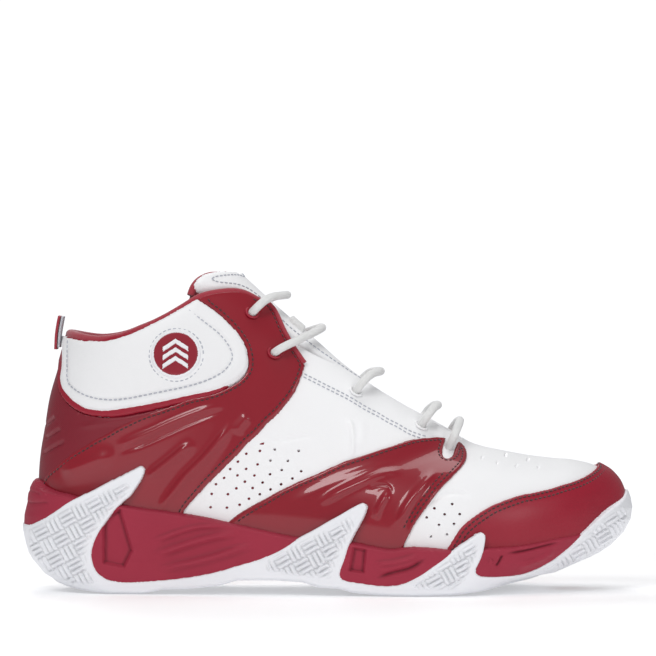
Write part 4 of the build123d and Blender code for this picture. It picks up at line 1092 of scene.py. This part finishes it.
def make_overlays():
    outline = outline_of(FRONT_TOP, FRONT_NOTCH, FRONT_TOE, [(10, 10)], [(-52, 24)])
    reliefs = [ridge([(-6, 44.5), (-4, 46), (5, 51), (15, 55.5), (25, 59.5), (39, 61.5)], 2.1, 1.7),
               ridge([(22, 38), (23, 40), (26, 46), (30.5, 53)], 1.7, 1.4),
               ridge([(33.5, 33), (34, 35), (38, 44), (45, 53), (54.5, 63)], 2.1, 1.8),
               ridge([(19, 52.6), (25, 54.8), (29.5, 54), (31.5, 48)], 0.9, -0.7),
               ridge([(-20, 44), (-8, 51), (8, 58), (24, 63.5), (38, 66)], 2.2, 0.5)]
    front = side_panel("front_overlay", "front_overlay", "patent_leather", "patent", outline, 1.7, -0.1, 1.2, 0.8,
                       (0.1, 0.3, 0.6, 1.0), trims=(clear_of_throat,), reliefs=reliefs)
    outline = outline_of(WING_TOP, WING_RIM, WING_EYESTAY, WING_FRONT, [(-74, 30)], [(-150, 36)])
    reliefs = [ridge([(-104, 69.5), (-100, 71.5), (-90, 75.5), (-80, 80), (-70, 84.5), (-60, 88.5), (-48, 92)], 1.3, -0.9),
               ridge([(-106, 72.5), (-98, 75.5), (-88, 79.5), (-76, 85), (-64, 89.8), (-50, 94.5)], 2.0, 1.1),
               ridge([(-90, 56.5), (-88, 58), (-80, 64), (-72, 70.5), (-65, 77)], 2.2, 1.6),
               ridge([(-85, 40), (-83, 42.5), (-75, 52), (-70, 58), (-60, 68), (-52, 78), (-46, 89)], 2.2, 1.6),
               ridge([(-133, 59), (-122, 63), (-110, 67), (-103, 66)], 3.6, 1.3),
               ridge([(-46, 79), (-44, 83), (-38, 90)], 2.4, 0.9)]
    rear = side_panel("rear_overlay", "rear_overlay", "patent_leather", "patent", outline, 1.7, -0.1, 1.2, 0.8,
                      (0.1, 0.3, 0.6, 1.0), reliefs=reliefs)
    paths = []
    for panel in (*front.values(), *rear.values()):
        for spots, out in seam_paths(panel, (2.2,), -0.05):
            shown = (spots[:, 2] > 36) & (spots[:, 2] < 146)
            for run in np.split(np.arange(len(spots)), np.flatnonzero(np.diff(shown)) + 1):
                if len(run) > 8 and shown[run].all():
                    paths.append((spots[run], out[run]))
    stitches("overlay_stitches", paths, FINISHES["thread"], BODY, "patent_leather", thick=0.42)
    second = both_sides([[(x - 3.4, z + 2.5) for x, z in FRONT_TOE[7:-2]]], -0.05)
    stitches("front_overlay_stitches", second, FINISHES["thread"], BODY, "patent_leather", thick=0.42)


def make_toe_cap():
    outline = outline_of(CAP_EDGE, [(165, 80)], [(165, 6)], [(56, 6)])
    cap = Panel(Upper, outline, (-1, 1), 0.85, (7.5, LAST - 0.01), (0.03, 1.97)).cut((0.15, 0.4, 0.8, 1.4))

    def crown(points, data):
        return 1.1 * np.clip((data[:, 2] - 1.0) / 9, 0, 1) * np.clip((points[:, 2] - 45) / 14, 0, 1)
    obj = cap.build("toe_cap_shell", FINISHES["red"], 1.7, -0.1, 1.2, extra=crown)
    finish_piece(obj, BODY, "red_leather", "toe_cap")
    paths = [(spots, out) for spots, out in seam_paths(cap, (1.7, 3.9), -0.15)]
    stitches("toe_cap_stitches", paths, FINISHES["thread"], BODY, "red_leather", thick=0.42)


def make_heel():
    outline = outline_of([(-165, 130)], [(-136, 128)], BAND_EDGE, HEEL_FRONT)
    panel = Panel(Upper, outline, (-1, 1), 0.85, (1.0, 7.6), (-0.6, 0.6)).cut((0.15, 0.5, 1.0))
    slashes = [ridge([(-142.2, 82), (-135, 88.5)], 0.8, -0.9), ridge([(-143, 75.2), (-138, 78.5), (-131.5, 82.5)], 0.8, -0.9),
               ridge([(-144.5, 67.2), (-139, 71), (-129, 76.5)], 0.8, -0.9),
               ridge([(-126, 82), (-112, 84.5), (-96, 87.5), (-80, 92)], 1.2, 0.5)]
    obj = panel.build("heel_panel_shell", FINISHES["moulded"], 1.7, 0.2, 1.0, reliefs=slashes)
    finish_piece(obj, BODY, "heel_moulded", "heel_panel")
    outline = outline_of(BAND_EDGE, [(-45, 110)], [(-48, 124)], [(-65, 143)], [(-90, 132.2)], [(-115, 125)])
    side_panel("collar_band", None, "red_leather", "red", outline, 1.0, -0.6, 1.0, 1.1, v_range=None)


def make_collar():
    outline = outline_of(COLLAR_EDGE, [(-80, 137.2), (-90, 132.2), (-100, 128), (-110, 125.4), (-120, 125.2)])
    inner = [(-128, 125), (-128, 112), (-127.5, 104), (-124, 100.5), (-118, 97.5), (-110, 95.8), (-100, 96),
             (-90, 97.8), (-80, 99.8), (-70, 101.8), (-60, 104.8), (-52, 109), (-48.6, 113), (-47.5, 116),
             (-49, 121), (-54, 127.5), (-62, 134), (-70, 140.5)]
    channel = ridge(inner, 1.0, -0.8, 0.05)

    def puff(points, data):
        return 1.9 * round_rim(np.clip(data[:, 2] - 0.8, 0, None), 11) - 0.25 * np.clip(data[:, 2] - 12, 0, 6) / 6
    panels = side_panel("collar_panel", "collar_panel", "collar_leather", "collar", outline, 0.4, -0.9, 1.6, 0.9,
                        reliefs=[channel], extra=puff)
    turn = np.linspace(0, 2 * np.pi, 60)
    round_badge = list(zip(-74.5 + 13 * np.cos(turn), 117.2 + 13 * np.sin(turn)))
    stitches("collar_stitches", both_sides([inner], -2.0) + both_sides([round_badge], -2.55), FINISHES["white_thread"], BODY, "collar_leather",
             thick=0.34)
    return panels


def make_piping():
    """Red piping round the foot's mouth, and down the front edge of each wing."""
    line = curve(TOP_LINE[1:], 1.0)[::-1]
    u, v, real = Upper.find(line[:, 0], line[:, 1], 1)
    u, v = u[real], v[real]
    if v[-1] > 0.03:
        last = np.linspace(0, 1, 12)[1:]
        u = np.concatenate([u, u[-1] + 0 * last])
        v = np.concatenate([v, v[-1] * (1 - last)])
    every_u = np.concatenate([u, u[-2::-1]])
    every_v = np.concatenate([-v, v[-2::-1]])
    path = Upper.at(every_u, every_v, 1.9)
    path = spaced(path, 1.2)
    heel = np.clip((-60 - path[:, 0]) / 70, 0, 1)
    path[:, 2] += 0.9 + 0.6 * heel
    for _ in range(3):
        path[1:-1] = (path[:-2] + 2 * path[1:-1] + path[2:]) / 4
    obj = tube("collar_piping_roll", path, 1.75 + 0.65 * heel, FINISHES["binding"], sides=14)
    finish_piece(obj, BODY, "binding_red", "collar_piping")
    every_point, every_tri, base = [], [], 0
    for side in (LATERAL, MEDIAL):
        spots, _ = on_upper(curve([(-31, 144.6)] + WING_EYESTAY[1:], 1.0), side, -0.2)
        points, tris = tube_mesh(spots, 1.15, sides=10)
        every_point.append(points)
        every_tri.append(tris + base)
        base += len(points)
    obj = mesh_object("eyestay_piping", np.concatenate(every_point), np.concatenate(every_tri), FINISHES["binding"], 60)
    finish_piece(obj, BODY, "binding_red")


def make_lining():
    outline = outline_of([(-165, 127.3)], TOP_LINE, [(-20, 125)], [(-36, 60)], [(-38, 24)], [(-165, 30)])

    def padding(points, data):
        return -2.2 * np.clip((points[:, 2] - 88) / 14, 0, 1) * round_rim(np.clip(data[:, 2] - 2, 0, None), 12)
    lining = Panel(Upper, outline, (-1, 1), 1.3, (0.4, 9.9), (-0.97, 0.97), trims=(clear_of_throat,))
    lining.cut((0.6, 2.0, 4.0))
    obj = lining.build("collar_lining_pad", FINISHES["lining"], 3.0, 5.6, 2.0, under=1.9, extra=padding)
    finish_piece(obj, BODY, "lining_mesh", "collar_lining", "collar_foam")


def make_badges():
    centre = np.array((-74.5, 117.2))
    turn = np.linspace(0, 2 * np.pi, 90, endpoint=False)

    def disc(radius):
        return centre + radius * np.stack([np.cos(turn), np.sin(turn)], 1)

    for side, word in SIDES:
        ring = Panel(Upper, disc(12.0), (side,), 0.5).cut((0.2, 0.5, 1.0))
        obj = ring.build(f"badge_ring_{word}", FINISHES["white_badge"], 0.0, -3.6, 1.0)
        finish_piece(obj, BODY, "badge_rubber", f"ankle_badge_{word}")
        face = Panel(Upper, disc(10.6), (side,), 0.45).cut((0.2, 0.5, 0.9))
        obj = face.build(f"badge_face_{word}", FINISHES["badge"], -2.4, -4.1, 0.9, under=-1.5)
        finish_piece(obj, BODY, "badge_rubber")
        for place in (-5.6, -1.4, 2.8):
            shape = centre + np.array([(-6, -1.4), (0, 2.6), (6, -1.4), (6, 0.9), (0, 4.9), (-6, 0.9)]) + (0, place - 0.6)
            mark = Panel(Upper, outline_of(*[[tuple(corner)] for corner in shape]), (side,), 0.4).cut((0.15, 0.4))
            obj = mark.build(f"badge_chevron_{word}_{int(place + 6)}", FINISHES["white_badge"], -4.0, -4.6, 0.4,
                             under=-3.6)
            finish_piece(obj, BODY, "badge_rubber")


def make_tongue():
    top = [(-69, 148.5), (-67, 154), (-63.5, 159), (-58, 161.8), (-46, 162.8), (-41, 161.5), (-36, 165)]
    outline = outline_of([(-80, 143)], top, [(140, 165)], [(140, 30)], [(40, 30)], [(-40, 80)])
    pad = Panel(Upper, outline, (-1, 1), 1.1, (0.0, 8.6), (0.3, 1.7), trims=(within_throat(0.0),))
    pad.cut((0.5, 1.5, 3.0))
    obj = pad.build("tongue_pad", FINISHES["lining"], 11.0, 6.0, 3.0, under=11.6)
    finish_piece(obj, "tongue", "lining_mesh", "tongue")

    def cover_trim(points):
        along, across = throat_spots(points)
        return np.minimum(smooth_values(COVER_EDGE, along) - np.abs(across), along - 1.5)
    cover = Panel(Upper, outline, (-1, 1), 0.9, (0.0, 8.6), (0.35, 1.65), trims=(cover_trim,))
    cover.cut((0.3, 1.0, 2.0, 3.0))
    obj = cover.build("tongue_cover_pad", FINISHES["leather"], 6.4, 3.4, 2.4, under=6.8)
    finish_piece(obj, "tongue", "white_leather", "tongue_cover")
    paths = seam_paths(cover, (3.6,), 3.25)
    stitches("tongue_stitches", paths, FINISHES["white_thread"], "tongue", "white_leather", thick=0.34)

    rolls = [line for line in pad.line_at(0.6) if len(line) > 20]
    longest = max(rolls, key=len)
    spots = Upper.at(longest[:, 0], longest[:, 1], 7.2)
    keep = spots[spots[:, 2] > 147]
    start = np.argmax(np.linalg.norm(np.diff(keep, axis=0), axis=1)) + 1
    if np.linalg.norm(keep[start] - keep[start - 1]) > 8:
        keep = np.concatenate([keep[start:], keep[:start]])
    keep = spaced(keep, 1.2)
    for _ in range(4):
        keep[1:-1] = (keep[:-2] + 2 * keep[1:-1] + keep[2:]) / 4
    obj = tube("tongue_binding_roll", keep, 2.0, FINISHES["binding"], sides=14)
    finish_piece(obj, "tongue", "binding_red", "tongue_binding")

    def loop_trim(points):
        along, across = throat_spots(points)
        return np.minimum(4.5 - np.abs(along - 99.5), 10.0 - np.abs(across))
    loop = Panel(Upper, outline, (-1, 1), 0.6, (0.4, 5.0), (0.6, 1.4), trims=(loop_trim,)).cut((0.2, 0.5, 0.8))
    obj = loop.build("tongue_loop_band", FINISHES["cotton"], 3.3, 1.6, 0.8)
    finish_piece(obj, "tongue", "white_leather", "tongue_lace_loop")


def make_lace():
    route = [(x * MM, y * MM, z * MM) for x, y, z in LACE_ROUTE]
    data = bpy.data.curves.new("lace_line", "CURVE")
    data.dimensions = "3D"
    data.resolution_u = 14
    spline = data.splines.new("NURBS")
    spline.points.add(len(route) - 1)
    for point, spot in zip(spline.points, route):
        point.co = (*spot, 1)
    spline.order_u = 3
    spline.use_endpoint_u = True
    holder = bpy.data.objects.new("lace_line", data)
    bpy.context.scene.collection.objects.link(holder)
    bpy.context.view_layer.update()
    line = bpy.data.meshes.new_from_object(holder)
    path = np.array([vertex.co[:] for vertex in line.vertices]) / MM
    bpy.data.objects.remove(holder)
    bpy.data.meshes.remove(line)
    path = spaced(path, 0.55)
    points, tris = tube_mesh(path, LACE_RADIUS, sides=20)
    rings = len(path)
    body = points[:rings * 20].reshape(rings, 20, 3)
    i, j = np.arange(rings)[:, None], np.arange(20)[None, :]
    braid = np.sin(i * 0.55 * 2.4 + j * np.pi / 5 * 2) * np.sin(i * 0.55 * 2.4 - j * np.pi / 5 * 2)
    body = path[:, None] + (body - path[:, None]) * (1 + 0.05 * braid[..., None])
    points = np.concatenate([body.reshape(-1, 3), points[rings * 20:]])
    obj = mesh_object("shoe_lace_braid", points, tris, FINISHES["cotton"], 70)
    finish_piece(obj, BODY, "lace_cotton", "shoe_lace")
    knot = Vector(path[-1])
    low, high = (Vector(corner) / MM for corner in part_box("lace_knot"))
    middle = np.array((low + high) / 2)
    t = np.linspace(0, 2 * np.pi, 90, endpoint=False)
    knot = np.stack([np.sin(t) + 2 * np.sin(2 * t), np.cos(t) - 2 * np.cos(2 * t), -1.3 * np.sin(3 * t)], 1) * 0.75
    obj = tube("lace_stopper_knot", knot + middle, 1.35, FINISHES["cotton"], sides=14, closed=True)
    finish_piece(obj, BODY, "lace_cotton", "lace_knot")
    make_eyelets(path)


def make_eyelets(path):
    """Stitched rims round the punched lace holes."""
    spots = [(-38, 139), (-27, 119.3), (14, 101), (46.5, 84)]
    parts = {True: [], False: []}
    for x, z in spots:
        for side in (LATERAL, MEDIAL):
            u, v, _ = Upper.find(np.array([x]), np.array([z]), side)
            depth = -0.25 if x < -20 else 1.2
            hub = Upper.at(u, side * v, depth)[0]
            near = path[np.argmin(np.linalg.norm(path - hub, axis=1))]
            hub = hub + (near - hub) * 0.6
            out = Upper.at(u, side * v, depth - 1)[0] - Upper.at(u, side * v, depth)[0]
            out /= np.linalg.norm(out)
            across = np.cross(out, (0, 1, 0.2))
            across /= np.linalg.norm(across)
            up = np.cross(out, across)
            t = np.linspace(0, 2 * np.pi, 36, endpoint=False)[:, None]
            ring = hub + 3.1 * (np.cos(t) * across + np.sin(t) * up)
            parts[depth < 0].append(tube_mesh(ring, 0.62, sides=8, closed=True))
    for red, rings in parts.items():
        base, points, tris = 0, [], []
        for ring_points, ring_tris in rings:
            points.append(ring_points)
            tris.append(ring_tris + base)
            base += len(ring_points)
        name, finish = ("eyelet_rims_red", "red") if red else ("eyelet_rims_white", "leather")
        obj = mesh_object(name, np.concatenate(points), np.concatenate(tris), FINISHES[finish], 60)
        finish_piece(obj, BODY, "red_leather" if red else "white_leather")


def make_pull_tab():
    """A folded strip of webbing behind the collar, red outside and grey inside."""
    for name, line, thick, finish, nodes in (
            ("pull_tab_outer", [(-136.2, 120.5), (-135.8, 128), (-134.9, 134), (-134.1, 137.6)], 1.5, "binding", ["pull_tab"]),
            ("pull_tab_inner", [(-134.6, 121.5), (-134.2, 128), (-133.2, 134), (-132.5, 137.4)], 1.3, "web", [])):
        path = spaced(curve(line, 0.5), 0.8)
        along = np.gradient(path, axis=0)
        along /= np.linalg.norm(along, axis=1)[:, None]
        out = np.stack([-along[:, 1], along[:, 0]], 1)
        turn = np.linspace(0, 2 * np.pi, 40, endpoint=False)
        c, s = np.cos(turn), np.sin(turn)
        y = 8.5 * np.sign(c) * np.abs(c) ** 0.15
        t = thick / 2 * np.sign(s) * np.abs(s) ** 0.5
        rings = np.stack([path[:, None, 0] + out[:, None, 0] * t, np.repeat(y[None], len(path), 0),
                          path[:, None, 1] + out[:, None, 1] * t], -1)
        n = len(path)
        i, j = np.arange(n - 1)[:, None], np.arange(40)[None, :]
        a, b = i * 40 + j, i * 40 + (j + 1) % 40
        tris = np.concatenate([np.stack([a, b, b + 40], -1).reshape(-1, 3),
                               np.stack([a, b + 40, a + 40], -1).reshape(-1, 3)])
        points = np.concatenate([rings.reshape(-1, 3), [rings[0].mean(0)], [rings[-1].mean(0)]])
        ring = np.arange(40)
        tris = np.concatenate([tris, np.stack([ring * 0 + n * 40, (ring + 1) % 40, ring], 1),
                               np.stack([ring * 0 + n * 40 + 1, ring + (n - 1) * 40, (ring + 1) % 40 + (n - 1) * 40], 1)])
        obj = mesh_object(name, points, tris, FINISHES[finish], 50)
        finish_piece(obj, "pull_tab", "pull_tab_web", *nodes)


def dress_inner_nodes():
    inner = dict(shank="hard", strobel_board="board", sockliner="lining", vamp_lining="lining", heel_counter="lining",
                 toe_puff="board", lace_aglet="hard")
    for node, finish in inner.items():
        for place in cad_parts[node].material_slots:
            place.material = FINISHES[finish]


LACE_RADIUS = 2.05
LACE_ROUTE = [
    (-74.0, -26.0, 116.0), (-63.0, -26.0, 124.5), (-52.0, -22.0, 131.5), (-41.6, -17.6, 134.6),
    (-36.3, -30.5, 141.0), (-29.5, -25.0, 147.0), (-21.0, -8.0, 147.6), (-20.5, 5.0, 147.6),
    (-28.5, 20.5, 146.6), (-36.0, 28.0, 141.2), (-41.8, 15.0, 135.2), (-35.4, 15.0, 126.0),
    (-29.6, 16.5, 117.1), (-25.4, 31.2, 120.7), (-17.0, 28.0, 126.4), (-3.5, 9.0, 131.5),
    (-3.0, -9.0, 131.0), (-15.0, -28.5, 125.6), (-25.4, -36.2, 120.9), (-29.4, -21.3, 116.4),
    (-12.0, -20.5, 108.8), (10.2, -18.7, 95.0), (16.2, -29.4, 104.3), (21.5, -22.0, 109.0),
    (26.0, -9.0, 109.5), (26.0, 3.5, 109.5), (21.0, 16.0, 109.0), (16.2, 23.4, 104.4),
    (10.3, 12.0, 95.3), (26.0, 11.5, 87.5), (42.8, 11.6, 76.9), (48.8, 20.9, 88.2),
    (52.6, 13.0, 92.0), (54.6, 4.0, 92.6), (54.6, -6.5, 92.6), (52.6, -16.5, 92.0),
    (49.0, -24.7, 87.9), (42.0, -16.2, 77.0), (49.5, -16.6, 70.5), (56.7, -18.0, 65.7),
    (61.8, -26.8, 77.3), (64.4, -20.0, 83.0), (65.6, -7.0, 84.8), (65.6, 6.0, 84.8),
    (64.2, 18.0, 83.2), (61.0, 25.3, 77.4), (58.4, 17.5, 67.2),
]

make_lace()
make_base()
make_backing()
make_overlays()
make_toe_cap()
make_heel()
make_collar()
make_piping()
make_lining()
make_badges()
make_tongue()
make_pull_tab()
dress_inner_nodes()
